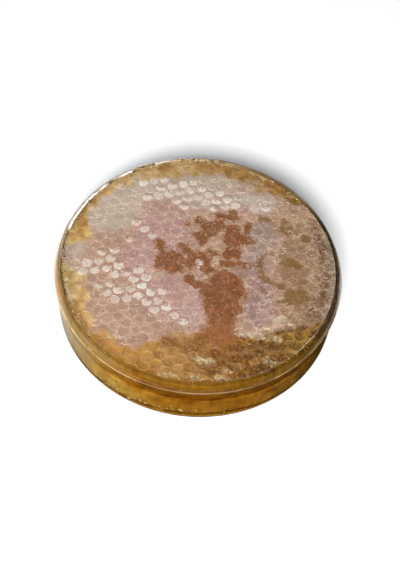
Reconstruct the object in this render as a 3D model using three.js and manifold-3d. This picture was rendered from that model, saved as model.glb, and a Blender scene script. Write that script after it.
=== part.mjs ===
// A round section of comb honey in its clear plastic case: a shallow round tray, a low press-on lid,
// the slab of comb that fills them, and the honey that has run round and under the comb.
//
// Frame: +Z is up and the origin is the centre of the tray's flat underside. -Y is the front.
// Units: millimetres. The four pieces keep the clearance CLEAR where they would touch.

import * as THREE from "three";
import { mergeVertices } from "three/addons/utils/BufferGeometryUtils.js";
import Module from "manifold-3d";

// ---------------------------------------------------------------- driving dimensions: the case
const FLANGE_RADIUS = 63; // the widest circle, round the lid's flange
const FLANGE_HEIGHT = 23.1; // to the top edge of the flange
const CASE_HEIGHT = 27.6; // to the top of the lid's flat panel
const WALL = 0.9; // both mouldings
const CLEAR = 0.3; // between pieces that rest on or in each other
const TRAY_FOOT_RADIUS = 61.9;
const TRAY_TOP_RADIUS = 62.2;
const FOOT_ROUND = 2.2; // the tray's bottom edge
const LID_ROUND = 1.3; // the lid's top edge
const LID_WALL_RADIUS = 62.2; // the lid's side wall, at its foot
const LID_SHOULDER_RADIUS = 61.2; // and at its top, where the rounded edge starts
const FLANGE_THICKNESS = 1.1;
const BEAD_HEIGHT = 0.7; // the step in the lid's side wall, above the flange
const COLLAR_RADIUS = 60.3; // outside of the tray's upstanding collar, which the lid slips over
const COLLAR_HEIGHT = 24.7;
const GATE_RADIUS = 1.7; // the moulding gate's mark, at the lid's centre
const GATE_HEIGHT = 0.35;
const TURNS = 72; // flats round each lathed piece
const ROUND_STEPS = 3; // flats in each rounded edge

// ---------------------------------------------------------------- driving dimensions: the comb
const CELL_PITCH = 5.1; // worker cells, from one cell's centre to the next
const ROW_ANGLE = 19; // degrees from +X to a row of cells
const FIRST_CELL = [2.5, 3.8]; // centre of the cell that the rows are counted from
const COMB_RADIUS = 55.6; // cells whose centre is inside this circle are kept
const RIM_TOP = 25.7; // height of the cells' rims, on the upper face
const UNDER_RIM = 3.9; // and on the lower face
const UNDER_DOME = 0.8; // how far the lower cappings bulge
const CAP_DOME = 0.55; // how far a wax capping stands above its rim
const DOME_SPREAD = 0.35; // share by which the domes differ
const WET_DOME = 0.12; // a sunken, wet capping
const OPEN_DEPTH = 3.0; // floor of an open cell, below its rim
const OPEN_FLOOR = 0.72; // width of that floor, as a share of the cell's mouth
const RIM_WOBBLE = 0.16; // uneven height of the rims
const CORNER_WOBBLE = 0.22; // uneven place of the cells' corners
const ROW_SWAY = 0.8; // how far rows bend from straight
const SWAY_LENGTH = 41; // length of that bend

// The capped field's outline: a circle with bays, where cells were left open. Each bay has the
// direction of its middle and its half width, in degrees, and its depth.
const CAPPED_RADIUS = 58.5;
const BAYS = {
  front: { at: 281, wide: 27, deep: 22.5 },
  frontLeft: { at: 232, wide: 22, deep: 5.5 },
  left: { at: 200, wide: 9, deep: 9 },
  backLeft: { at: 165, wide: 10, deep: 5.5 },
  back: { at: 104, wide: 17, deep: 8 },
  backRight: { at: 56, wide: 20, deep: 7 },
};
// Ovals of open cells inside the field: centre, half lengths and turn in degrees.
const OPEN_OVALS = {
  rightEdge: { x: 51, y: 0, a: 11, b: 36, turn: 4 },
  rightFront: { x: 43, y: -14, a: 6.5, b: 5.5, turn: 10 },
  rightMiddle: { x: 39, y: 6, a: 4.5, b: 3.5, turn: -30 },
  rightBack: { x: 37, y: 27, a: 5, b: 3.5, turn: -20 },
};
// Ovals where honey has soaked the cappings, so that they lie flat.
const WET_OVALS = {
  trunk: { x: 12, y: -19, a: 8, b: 18, turn: 5 },
  crown: { x: 13, y: 17, a: 9, b: 13, turn: -12 },
  branch: { x: -12, y: 1, a: 8, b: 6.5, turn: -25 },
  middle: { x: 0, y: 9, a: 6, b: 13, turn: 20 },
};

// ---------------------------------------------------------------- the honey round the comb
const HONEY_TOP = 25.9;
const HONEY_GAP = 0.35; // left between honey and comb, at the sides
const POOL_TOP = UNDER_RIM - UNDER_DOME - RIM_WOBBLE - CLEAR; // the honey that the comb stands in

const CLEAR_PLASTIC = { color: 0xe9e6dc, roughness: 0.08, metalness: 0, transparent: true, opacity: 0.3 };
const WAX = { color: 0xc9a184, roughness: 0.55, metalness: 0 };
const AMBER = { color: 0x9a6414, roughness: 0.12, metalness: 0 };

const { PI, sin, cos, sqrt, hypot } = Math;
const radians = (degrees) => (degrees * PI) / 180;

// ---------------------------------------------------------------- lathed pieces

// Points of a quarter-like arc in a lathe profile, from one angle to another, in degrees.
function arc(centreRadius, centreHeight, radius, from, to) {
  return Array.from({ length: ROUND_STEPS + 1 }, (_, i) => {
    const angle = radians(from + ((to - from) * i) / ROUND_STEPS);
    return [centreRadius + radius * cos(angle), centreHeight + radius * sin(angle)];
  });
}

// A closed solid of revolution about Z. The profile runs from the axis outwards and up, and back to the axis.
function turned(profile) {
  const points = profile.map(([radius, height]) => new THREE.Vector2(radius, height));
  return new THREE.LatheGeometry(points, TURNS).rotateX(PI / 2);
}

// The tray: flat floor, rounded foot, a wall that widens slightly, and a collar stepped in at the top.
function trayProfile() {
  const shoulder = FLANGE_HEIGHT - FLANGE_THICKNESS - CLEAR;
  const insideFoot = FOOT_ROUND - WALL;
  return [
    [0, 0],
    ...arc(TRAY_FOOT_RADIUS - FOOT_ROUND, FOOT_ROUND, FOOT_ROUND, -90, 0),
    [TRAY_TOP_RADIUS, shoulder],
    [COLLAR_RADIUS, shoulder],
    [COLLAR_RADIUS, COLLAR_HEIGHT],
    [COLLAR_RADIUS - WALL, COLLAR_HEIGHT],
    [COLLAR_RADIUS - WALL, shoulder - WALL],
    [TRAY_TOP_RADIUS - WALL, shoulder - 2 * WALL],
    ...arc(TRAY_FOOT_RADIUS - FOOT_ROUND, FOOT_ROUND, insideFoot, 0, -90),
    [0, WALL],
  ];
}

// The lid: a flat panel with the gate's mark at its centre, a rounded edge, a side wall with a small
// step, and a flange that rests above the tray's shoulder.
function lidProfile() {
  const flangeFoot = FLANGE_HEIGHT - FLANGE_THICKNESS;
  const edgeRadius = LID_SHOULDER_RADIUS - LID_ROUND;
  const edgeHeight = CASE_HEIGHT - LID_ROUND;
  const stepHeight = FLANGE_HEIGHT + BEAD_HEIGHT;
  const stepIn = 0.35;
  return [
    [0, CASE_HEIGHT - WALL],
    ...arc(edgeRadius, edgeHeight, LID_ROUND - WALL, 90, 0),
    [LID_WALL_RADIUS - WALL, flangeFoot],
    [FLANGE_RADIUS - 0.2, flangeFoot],
    [FLANGE_RADIUS, flangeFoot + 0.25],
    [FLANGE_RADIUS, FLANGE_HEIGHT - 0.25],
    [FLANGE_RADIUS - 0.2, FLANGE_HEIGHT],
    [LID_WALL_RADIUS + 0.1, FLANGE_HEIGHT + 0.1],
    [LID_WALL_RADIUS, stepHeight],
    [LID_WALL_RADIUS - stepIn, stepHeight + stepIn],
    ...arc(edgeRadius, edgeHeight, LID_ROUND, 0, 90),
    [GATE_RADIUS, CASE_HEIGHT],
    [GATE_RADIUS - GATE_HEIGHT, CASE_HEIGHT + GATE_HEIGHT],
    [GATE_RADIUS / 2, CASE_HEIGHT + GATE_HEIGHT],
    [GATE_RADIUS / 3, CASE_HEIGHT + GATE_HEIGHT / 2],
    [0, CASE_HEIGHT + GATE_HEIGHT / 2],
  ];
}

// Everything that honey and comb fill, before the comb is cut out of it. It follows the tray's inside,
// and stands inside the collar and under the lid.
function honeyProfile() {
  const foot = WALL + CLEAR;
  const insideFoot = FOOT_ROUND - WALL - CLEAR;
  const shoulder = FLANGE_HEIGHT - FLANGE_THICKNESS - CLEAR;
  return [
    [0, foot],
    ...arc(TRAY_FOOT_RADIUS - FOOT_ROUND, FOOT_ROUND, insideFoot, -90, 0),
    [TRAY_TOP_RADIUS - WALL - CLEAR, shoulder - 2 * WALL - CLEAR],
    [COLLAR_RADIUS - WALL - CLEAR, shoulder - WALL - CLEAR],
    [COLLAR_RADIUS - WALL - CLEAR, HONEY_TOP],
    [0, HONEY_TOP],
  ];
}

// ---------------------------------------------------------------- the comb's lattice

// A repeatable number from 0 to 1 for a place and a seed.
function chance(x, y, seed) {
  const swirl = sin(x * 12.9898 + y * 78.233 + seed * 37.719) * 43758.5453;
  return swirl - Math.floor(swirl);
}

// Cell centres by row and column, and the six corners of a cell, before rows are bent.
function centreOf(column, row) {
  const angle = radians(ROW_ANGLE);
  const along = column + row / 2;
  const across = (row * sqrt(3)) / 2;
  const [firstX, firstY] = FIRST_CELL;
  return [
    firstX + CELL_PITCH * (along * cos(angle) - across * sin(angle)),
    firstY + CELL_PITCH * (along * sin(angle) + across * cos(angle)),
  ];
}

function cornerOf([x, y], k) {
  const angle = radians(ROW_ANGLE + 30 + 60 * k);
  return [x + (CELL_PITCH / sqrt(3)) * cos(angle), y + (CELL_PITCH / sqrt(3)) * sin(angle)];
}

// Bends the rows slightly, as bees build them.
function swayed(x, y) {
  return [x + ROW_SWAY * sin(y / SWAY_LENGTH + 0.6), y + ROW_SWAY * sin((x - y) / SWAY_LENGTH)];
}

function insideOval({ x, y, a, b, turn }, px, py) {
  const c = cos(radians(turn));
  const s = sin(radians(turn));
  const u = (px - x) * c + (py - y) * s;
  const v = (py - y) * c - (px - x) * s;
  return (u / a) ** 2 + (v / b) ** 2 < 1;
}

// Edge of the capped field in the direction of a point.
function cappedRadius(x, y) {
  const direction = (Math.atan2(y, x) * 180) / PI;
  return Object.values(BAYS).reduce((radius, { at, wide, deep }) => {
    const off = ((direction - at + 540) % 360) - 180;
    return radius - deep * Math.exp(-((off / wide) ** 2));
  }, CAPPED_RADIUS);
}

function isOpen(x, y) {
  return hypot(x, y) > cappedRadius(x, y) || Object.values(OPEN_OVALS).some((oval) => insideOval(oval, x, y));
}

function domeOf(x, y) {
  if (Object.values(WET_OVALS).some((oval) => insideOval(oval, x, y))) return WET_DOME;
  return CAP_DOME * (1 + DOME_SPREAD * (2 * chance(x, y, 5) - 1));
}

// Every kept cell: its centre, and the keys of its six corners in the table of shared corners.
function lattice() {
  const corners = new Map();
  const cells = [];
  const reach = Math.ceil((2 * COMB_RADIUS) / CELL_PITCH);
  for (let row = -reach; row <= reach; row++) {
    for (let column = -reach; column <= reach; column++) {
      const centre = centreOf(column, row);
      if (hypot(...centre) > COMB_RADIUS) continue;
      const keys = [0, 1, 2, 3, 4, 5].map((k) => {
        const [x, y] = cornerOf(centre, k);
        const key = `${Math.round(x * 100)},${Math.round(y * 100)}`;
        if (!corners.has(key)) {
          const [sx, sy] = swayed(x, y);
          const place = [
            sx + CORNER_WOBBLE * (2 * chance(x, y, 1) - 1),
            sy + CORNER_WOBBLE * (2 * chance(x, y, 2) - 1),
          ];
          corners.set(key, { place, rise: RIM_WOBBLE * (2 * chance(x, y, 3) - 1) });
        }
        return key;
      });
      cells.push({ centre: swayed(...centre), keys });
    }
  }
  return { corners, cells };
}

// The comb's outline: the cell edges that only one cell has, joined end to end, anticlockwise.
function outlineOf({ cells }) {
  const next = new Map();
  const once = new Set();
  for (const { keys } of cells) keys.forEach((key, k) => once.add(`${key}>${keys[(k + 1) % 6]}`));
  for (const { keys } of cells) {
    keys.forEach((key, k) => {
      const end = keys[(k + 1) % 6];
      if (!once.has(`${end}>${key}`)) next.set(key, end);
    });
  }
  const start = next.keys().next().value;
  const loop = [start];
  for (let key = next.get(start); key !== start; key = next.get(key)) loop.push(key);
  return loop;
}

// ---------------------------------------------------------------- the comb's solid

// Collects triangles over points named by a key.
class Skin {
  constructor() {
    this.index = new Map();
    this.points = [];
    this.faces = [];
  }

  point(key, x, y, z) {
    if (!this.index.has(key)) {
      this.index.set(key, this.points.length / 3);
      this.points.push(x, y, z);
    }
    return this.index.get(key);
  }

  // A face turned to look up, or down where up is false.
  face(up, a, b, c) {
    this.faces.push(...(up ? [a, b, c] : [a, c, b]));
  }

  geometry() {
    const made = new THREE.BufferGeometry();
    made.setAttribute("position", new THREE.Float32BufferAttribute(this.points, 3));
    made.setIndex(this.faces);
    return made;
  }
}

// A capping: six faces that rise to the cell's middle.
function addCapping(skin, cell, ring, up, peak) {
  const top = skin.point(`${cell.keys[0]}${up}peak`, ...cell.centre, peak);
  ring.forEach((a, k) => skin.face(up, a, ring[(k + 1) % 6], top));
}

// An open cell: six walls down to a smaller floor.
function addOpenCell(skin, cell, ring, corners) {
  const [cx, cy] = cell.centre;
  const floor = cell.keys.map((key, k) => {
    const [x, y] = corners.get(key).place;
    const place = [cx + (x - cx) * OPEN_FLOOR, cy + (y - cy) * OPEN_FLOOR];
    return skin.point(`${cell.keys[0]}floor${k}`, ...place, RIM_TOP - OPEN_DEPTH);
  });
  ring.forEach((a, k) => {
    const b = ring[(k + 1) % 6];
    const c = floor[(k + 1) % 6];
    skin.face(true, a, b, c);
    skin.face(true, a, c, floor[k]);
  });
  for (let k = 1; k < 5; k++) skin.face(true, floor[0], floor[k], floor[k + 1]);
}

// The slab: cells on the upper face, cappings on the lower one, and the cut cells' upright walls.
function combGeometry(comb) {
  const { corners, cells } = comb;
  const skin = new Skin();
  const upper = (key) => {
    const { place, rise } = corners.get(key);
    return skin.point(`${key}upper`, ...place, RIM_TOP + rise);
  };
  const lower = (key) => {
    const { place, rise } = corners.get(key);
    return skin.point(`${key}lower`, ...place, UNDER_RIM + rise);
  };
  for (const cell of cells) {
    const ring = cell.keys.map(upper);
    if (isOpen(...cell.centre)) addOpenCell(skin, cell, ring, corners);
    else addCapping(skin, cell, ring, true, RIM_TOP + domeOf(...cell.centre));
    const under = UNDER_RIM - UNDER_DOME * (0.7 + 0.3 * chance(...cell.centre, 6));
    addCapping(skin, cell, cell.keys.map(lower), false, under);
  }
  const loop = outlineOf(comb);
  loop.forEach((key, i) => {
    const end = loop[(i + 1) % loop.length];
    skin.face(true, lower(key), lower(end), upper(end));
    skin.face(true, lower(key), upper(end), upper(key));
  });
  return skin.geometry();
}

// The comb's outline moved outwards by a gap, as a closed shape.
function widenedOutline(comb, gap) {
  const loop = outlineOf(comb).map((key) => comb.corners.get(key).place);
  const shape = new THREE.Shape();
  loop.forEach(([x, y], i) => {
    const [px, py] = loop[(i + loop.length - 1) % loop.length];
    const [nx, ny] = loop[(i + 1) % loop.length];
    const before = new THREE.Vector2(y - py, px - x).normalize();
    const after = new THREE.Vector2(ny - y, x - nx).normalize();
    const bisector = before.clone().add(after);
    const moved = bisector.multiplyScalar((2 * gap) / bisector.lengthSq());
    const place = [x + moved.x, y + moved.y];
    if (i) shape.lineTo(...place);
    else shape.moveTo(...place);
  });
  shape.closePath();
  return shape;
}

// ---------------------------------------------------------------- joins and cuts

const wasm = await Module();
wasm.setup();

function solidOf(geometry) {
  const bare = geometry.clone();
  bare.deleteAttribute("normal");
  bare.deleteAttribute("uv");
  const merged = mergeVertices(bare, 1e-3);
  const vertProperties = merged.attributes.position.array;
  const triVerts = new Uint32Array(merged.index.array);
  return new wasm.Manifold(new wasm.Mesh({ numProp: 3, vertProperties, triVerts }));
}

function geometryOf(solid) {
  const { vertProperties, triVerts } = solid.getMesh();
  const made = new THREE.BufferGeometry();
  made.setAttribute("position", new THREE.BufferAttribute(vertProperties, 3));
  made.setIndex(new THREE.BufferAttribute(triVerts, 1));
  return made;
}

// The honey: what is left of the case's inside when the comb is taken out.
function honeyGeometry(comb) {
  const cutter = new THREE.ExtrudeGeometry(widenedOutline(comb, HONEY_GAP), {
    depth: CASE_HEIGHT,
    bevelEnabled: false,
  }).translate(0, 0, POOL_TOP);
  return geometryOf(solidOf(turned(honeyProfile())).subtract(solidOf(cutter)));
}

// ---------------------------------------------------------------- the object

function piece(name, geometry, look) {
  const mesh = new THREE.Mesh(geometry, new THREE.MeshStandardMaterial(look));
  mesh.name = name;
  return mesh;
}

const comb = lattice();
const section = new THREE.Group();
section.add(
  piece("tray", turned(trayProfile()), CLEAR_PLASTIC),
  piece("lid", turned(lidProfile()), CLEAR_PLASTIC),
  piece("comb", combGeometry(comb), WAX),
  piece("honey", honeyGeometry(comb), AMBER),
);

export default section;
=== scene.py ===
"""A round section of comb honey in a clear two-part case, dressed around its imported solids.

Sizes are in millimetres in the classes below, and become metres when a mesh is made. +Z is up, -Y is the
front, and the origin is the centre of the case's underside.
"""

import logging
import math
from collections.abc import Iterable, Mapping, Sequence
from dataclasses import astuple, dataclass, field
from enum import Enum
from functools import reduce
from typing import Any

import bpy
import numpy as np
from mathutils import Matrix, Vector


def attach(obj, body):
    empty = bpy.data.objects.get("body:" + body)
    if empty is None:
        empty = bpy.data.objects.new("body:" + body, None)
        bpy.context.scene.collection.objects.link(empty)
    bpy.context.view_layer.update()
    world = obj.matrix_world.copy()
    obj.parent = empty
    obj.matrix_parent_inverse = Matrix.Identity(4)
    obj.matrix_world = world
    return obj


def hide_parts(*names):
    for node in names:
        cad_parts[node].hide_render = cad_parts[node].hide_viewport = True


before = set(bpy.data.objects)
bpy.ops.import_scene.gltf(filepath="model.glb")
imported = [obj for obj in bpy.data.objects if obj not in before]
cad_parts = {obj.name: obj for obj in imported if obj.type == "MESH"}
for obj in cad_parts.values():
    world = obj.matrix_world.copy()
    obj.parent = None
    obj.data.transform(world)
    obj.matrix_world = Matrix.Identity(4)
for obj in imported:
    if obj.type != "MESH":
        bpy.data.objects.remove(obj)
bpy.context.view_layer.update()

MM = 0.001
BODY = "root"
LOG = logging.getLogger("comb_section")
Tone = tuple[float, float, float]
Point = tuple[float, float]
Range = tuple[float, float]


def tone(red: int, green: int, blue: int) -> Tone:
    """A colour as a screen shows it, 0 to 255, turned into the light values that shaders use."""
    shares = [channel / 255 for channel in (red, green, blue)]
    return tuple(share / 12.92 if share <= 0.04045 else ((share + 0.055) / 1.055) ** 2.4 for share in shares)


def smooth(values: np.ndarray, low: float, high: float) -> np.ndarray:
    """A soft step from 0 at low to 1 at high."""
    share = np.clip((values - low) / (high - low), 0, 1)
    return share * share * (3 - 2 * share)


def bearing(plan: np.ndarray) -> np.ndarray:
    """Each point's direction from the middle, in degrees from +X."""
    return np.degrees(np.arctan2(plan[:, 1], plan[:, 0])) % 360


def blend(under: np.ndarray, over: Tone | np.ndarray, share: np.ndarray) -> np.ndarray:
    """Colours mixed point by point, with a share of the second one from 0 to 1."""
    return under + (np.array(over) - under) * share[:, None]


# ------------------------------------------------------------------------------------- node trees


class Graph:
    """A node tree while it is being wired."""

    def __init__(self, tree: bpy.types.NodeTree) -> None:
        """Starts wiring.

        Args:
            tree: The shader or geometry tree that gets the nodes.
        """
        self.tree = tree

    def add(
        self, kind: str, sockets: Mapping[str | int, Any] | None = None, **settings: Any,
    ) -> bpy.types.Node:
        """Adds one node.

        Args:
            kind: Blender's name of the node's type.
            sockets: Input name or number, with the value or the output that feeds it.
            settings: Properties of the node itself.

        Returns:
            The new node.
        """
        node = self.tree.nodes.new(kind)
        for name, value in settings.items():
            setattr(node, name, value)
        for key, value in (sockets or {}).items():
            self.feed(node.inputs[key], value)
        return node

    def feed(self, socket: bpy.types.NodeSocket, value: Any) -> None:
        """Sets a socket's value, or links it.

        Args:
            socket: The input to feed.
            value: A value, a colour, or the output that feeds it.
        """
        if isinstance(value, bpy.types.NodeSocket):
            self.tree.links.new(value, socket)
        elif isinstance(value, tuple) and socket.type == "RGBA":
            socket.default_value = (*value[:3], 1.0)
        else:
            socket.default_value = value

    def math(self, operation: str, *values: Any, clamp: bool = False) -> bpy.types.NodeSocket:
        """The result of a Math node."""
        node = self.add("ShaderNodeMath", dict(enumerate(values)), operation=operation, use_clamp=clamp)
        return node.outputs[0]

    def times(self, *values: Any) -> bpy.types.NodeSocket:
        """The product of some numbers."""
        return reduce(lambda first, second: self.math("MULTIPLY", first, second), values)

    def plus(self, *values: Any, clamp: bool = False) -> bpy.types.NodeSocket:
        """The sum of some numbers, held between 0 and 1 where it is clamped."""
        return reduce(lambda first, second: self.math("ADD", first, second, clamp=clamp), values)

    def minus(self, first: Any, second: Any) -> bpy.types.NodeSocket:
        """One number less another."""
        return self.math("SUBTRACT", first, second)

    def most(self, first: Any, second: Any) -> bpy.types.NodeSocket:
        """The larger of two numbers."""
        return self.math("MAXIMUM", first, second)

    def swing(self, value: Any, reach: Any, middle: float = 0.5) -> bpy.types.NodeSocket:
        """How far a value is from its middle, times a reach."""
        return self.times(self.minus(value, middle), reach)

    def step(self, value: Any, low: float, high: float, to_low: float = 0.0, to_high: float = 1.0) -> Any:
        """A value mapped softly from low..high to to_low..to_high."""
        sockets = {"Value": value, "From Min": low, "From Max": high, "To Min": to_low, "To Max": to_high}
        return self.add("ShaderNodeMapRange", sockets, interpolation_type="SMOOTHSTEP").outputs["Result"]

    def parts(self, vector: Any) -> Any:
        """The X, Y and Z outputs of a vector."""
        return self.add("ShaderNodeSeparateXYZ", {"Vector": vector}).outputs


class Finish(Graph):
    """A material while its nodes are being wired."""

    def __init__(self, name: str) -> None:
        """Starts an empty material.

        Args:
            name: The material's name.
        """
        self.material = bpy.data.materials.new(name)
        self.material.use_nodes = True
        self.material.node_tree.nodes.clear()
        super().__init__(self.material.node_tree)
        self.place = self.add("ShaderNodeTexCoord").outputs["Object"]

    def noise(self, cells_per_m: float, detail: float = 3.0, rough: float = 0.55, **inputs: Any) -> Any:
        """A noise value from 0 to 1, most of it near the middle.

        Args:
            cells_per_m: How many blotches fit in a metre.
            detail: Octaves of finer noise.
            rough: Strength of each finer octave.
            inputs: Other inputs of the Noise node, by name.

        Returns:
            The noise's Fac output.
        """
        sockets = {"Vector": self.place, "Scale": cells_per_m, "Detail": detail, "Roughness": rough, **inputs}
        return self.add("ShaderNodeTexNoise", sockets).outputs["Fac"]

    def thread(self, curls_per_m: float, width: float) -> bpy.types.NodeSocket:
        """Thin wandering lines: 1 on a line, 0 off it.

        Args:
            curls_per_m: How many curls fit in a metre.
            width: Half a line's width, as a share of the noise's range.

        Returns:
            The lines' output.
        """
        swirl = self.noise(curls_per_m, 1.0, 0.5, Distortion=1.2)
        return self.step(self.math("ABSOLUTE", self.minus(swirl, 0.5)), width, 0.0)

    def attribute(self, name: str, output: str = "Fac") -> bpy.types.NodeSocket:
        """An attribute of the mesh."""
        return self.add("ShaderNodeAttribute", attribute_name=name).outputs[output]

    def mix(self, share: Any, first: Any, second: Any, blend: str = "MIX") -> bpy.types.NodeSocket:
        """Two colours mixed.

        Args:
            share: How much of the second one there is.
            first: A colour or an output.
            second: A colour or an output.
            blend: Blender's name of the blend.

        Returns:
            The mixed colour's output.
        """
        node = self.add("ShaderNodeMix", data_type="RGBA", blend_type=blend, clamp_factor=True)
        self.feed(node.inputs[0], share)
        self.feed(node.inputs[6], first)
        self.feed(node.inputs[7], second)
        return node.outputs[2]

    def bump(self, height: Any, distance: float, strength: float = 1.0) -> bpy.types.NodeSocket:
        """A bumped normal, with the bump's height in metres."""
        sockets = {"Height": height, "Distance": distance, "Strength": strength}
        return self.add("ShaderNodeBump", sockets).outputs["Normal"]

    def principled(self, sockets: Mapping[str, Any]) -> bpy.types.NodeSocket:
        """A Principled shader with some of its inputs set."""
        return self.add("ShaderNodeBsdfPrincipled", sockets).outputs[0]

    def surface(
        self, shader: bpy.types.NodeSocket, volume: bpy.types.NodeSocket | None = None,
    ) -> bpy.types.Material:
        """Ends the material.

        Args:
            shader: What the surface shows.
            volume: What fills the inside, if anything.

        Returns:
            The finished material.
        """
        sockets = {"Surface": shader} if volume is None else {"Surface": shader, "Volume": volume}
        self.add("ShaderNodeOutputMaterial", sockets)
        return self.material

    def lets_light_in(self, shader: bpy.types.NodeSocket, tint: Tone) -> bpy.types.NodeSocket:
        """A clear shader that lamps shine through.

        Args:
            shader: The shader that bends light.
            tint: What is left of a lamp's light behind it.

        Returns:
            The mixed shader.
        """
        shadow = self.add("ShaderNodeLightPath").outputs["Is Shadow Ray"]
        passing = self.add("ShaderNodeBsdfTransparent", {"Color": tint}).outputs[0]
        return self.add("ShaderNodeMixShader", {0: shadow, 1: shader, 2: passing}).outputs[0]


class Growth(Graph):
    """A Geometry Nodes tree with named inputs, and the way to grow a mesh with it."""

    def __init__(self, name: str, sizes: Mapping[str, float | int]) -> None:
        """Starts the tree, with its named inputs.

        Args:
            name: The tree's name.
            sizes: Named inputs that are lengths, shares or counts, with their values.
        """
        super().__init__(bpy.data.node_groups.new(name, "GeometryNodeTree"))
        self.sizes = sizes
        self.tree.interface.new_socket(name="Geometry", in_out="INPUT", socket_type="NodeSocketGeometry")
        for size, value in sizes.items():
            kind = "NodeSocketInt" if isinstance(value, int) else "NodeSocketFloat"
            self.tree.interface.new_socket(name=size, in_out="INPUT", socket_type=kind)
        self.tree.interface.new_socket(name="Geometry", in_out="OUTPUT", socket_type="NodeSocketGeometry")
        self.given = self.add("NodeGroupInput").outputs

    def named(self, name: str, kind: str = "FLOAT") -> bpy.types.NodeSocket:
        """The field of a named attribute."""
        node = self.add("GeometryNodeInputNamedAttribute", {"Name": name}, data_type=kind)
        return node.outputs["Attribute"]

    def store(
        self, mesh: Any, name: str, value: Any, domain: str, kind: str = "FLOAT", where: Any = True,
    ) -> bpy.types.NodeSocket:
        """Keeps a field as an attribute.

        Args:
            mesh: Geometry output to store on.
            name: The attribute's name.
            value: A number or a field.
            domain: POINT, FACE and so on.
            kind: Blender's name of the data type.
            where: Which elements get the value.

        Returns:
            The geometry with the attribute.
        """
        sockets = {"Geometry": mesh, "Selection": where, "Name": name, "Value": value}
        node = self.add("GeometryNodeStoreNamedAttribute", sockets, data_type=kind, domain=domain)
        return node.outputs[0]

    def vector(self, x: Any = 0.0, y: Any = 0.0, z: Any = 0.0) -> bpy.types.NodeSocket:
        """A vector from its parts."""
        return self.add("ShaderNodeCombineXYZ", {"X": x, "Y": y, "Z": z}).outputs[0]

    def move(self, mesh: Any, offset: Any, where: Any = True) -> bpy.types.NodeSocket:
        """Moves points by an offset."""
        sockets = {"Geometry": mesh, "Selection": where, "Offset": offset}
        return self.add("GeometryNodeSetPosition", sockets).outputs[0]

    def put(self, mesh: Any, place: Any, where: Any = True) -> bpy.types.NodeSocket:
        """Puts points at places."""
        sockets = {"Geometry": mesh, "Selection": where, "Position": place}
        return self.add("GeometryNodeSetPosition", sockets).outputs[0]

    def position(self) -> bpy.types.NodeSocket:
        """The field of where each element is."""
        return self.add("GeometryNodeInputPosition").outputs[0]

    def swirl(self, cells_per_m: float, detail: float = 2.0) -> bpy.types.NodeSocket:
        """A noise vector, about -0.5 to 0.5 each way.

        Args:
            cells_per_m: How many blotches fit in a metre.
            detail: Octaves of finer noise.

        Returns:
            The vector's output.
        """
        noise = self.add("ShaderNodeTexNoise", {"Scale": cells_per_m, "Detail": detail}).outputs["Color"]
        node = self.add("ShaderNodeVectorMath", {0: noise, 1: (0.5, 0.5, 0.5)}, operation="SUBTRACT")
        return node.outputs[0]

    def random(self, low: Any, high: Any, seed: Any, kind: str = "FLOAT") -> bpy.types.NodeSocket:
        """A seeded random number, or vector, for each element.

        Args:
            low: The least value.
            high: The greatest value.
            seed: Picks the values.
            kind: Blender's name of the data type.

        Returns:
            The random field.
        """
        node = self.add("FunctionNodeRandomValue", data_type=kind)
        live = [socket for socket in node.inputs if socket.enabled]
        for socket, value in zip(live, (low, high)):
            self.feed(socket, value)
        self.feed(node.inputs["Seed"], seed)
        return next(socket for socket in node.outputs if socket.enabled)

    def grow(
        self, name: str, last: Any, base: bpy.types.Mesh, material: bpy.types.Material,
    ) -> bpy.types.Object:
        """Ends the tree, runs it on a mesh and keeps the result as a plain mesh.

        Args:
            name: The new object's name.
            last: The geometry to end with.
            base: What the tree starts from.
            material: What the result is made of.

        Returns:
            The object, with no modifier left on it.
        """
        smooth_faces = self.add("GeometryNodeSetShadeSmooth", {"Geometry": last}).outputs[0]
        real = self.add("GeometryNodeRealizeInstances", {"Geometry": smooth_faces}).outputs[0]
        dressed = self.add("GeometryNodeSetMaterial", {"Geometry": real, "Material": material}).outputs[0]
        self.add("NodeGroupOutput", {"Geometry": dressed})
        grown = placed(name, base)
        modifier = grown.modifiers.new(name, "NODES")
        modifier.node_group = self.tree
        for item in self.tree.interface.items_tree:
            if item.in_out == "INPUT" and item.name in self.sizes:
                modifier[item.identifier] = self.sizes[item.name]
        graph = bpy.context.evaluated_depsgraph_get()
        evaluated = grown.evaluated_get(graph)
        mesh = bpy.data.meshes.new_from_object(evaluated, preserve_all_data_layers=True, depsgraph=graph)
        grown.modifiers.clear()
        grown.data = mesh
        mesh.name = name
        return grown


# ------------------------------------------------------------------------------------- mesh helpers


def placed(name: str, mesh: bpy.types.Mesh) -> bpy.types.Object:
    """Puts a new object in the scene, at the origin.

    Args:
        name: The object's name.
        mesh: Its mesh.

    Returns:
        The object.
    """
    made = bpy.data.objects.new(name, mesh)
    bpy.context.scene.collection.objects.link(made)
    return made


def points_of(mesh: bpy.types.Mesh) -> np.ndarray:
    """A mesh's vertices.

    Args:
        mesh: The mesh to read.

    Returns:
        One row for each vertex, in millimetres.
    """
    flat = np.empty(len(mesh.vertices) * 3, np.float32)
    mesh.vertices.foreach_get("co", flat)
    return flat.reshape(-1, 3) / MM


def keep(mesh: bpy.types.Mesh, name: str, values: np.ndarray, domain: str = "POINT") -> None:
    """Stores numbers, or colours of three numbers, on a mesh.

    Args:
        mesh: The mesh that gets the attribute.
        name: The attribute's name.
        values: One number or one colour for each element.
        domain: POINT, CORNER or FACE.
    """
    if values.ndim == 1:
        made = mesh.attributes.new(name, "FLOAT", domain)
        made.data.foreach_set("value", values.astype(np.float32))
        return
    made = mesh.attributes.new(name, "FLOAT_COLOR", domain)
    whole = np.hstack([values, np.ones((len(values), 1))])
    made.data.foreach_set("color", whole.astype(np.float32).ravel())


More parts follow.
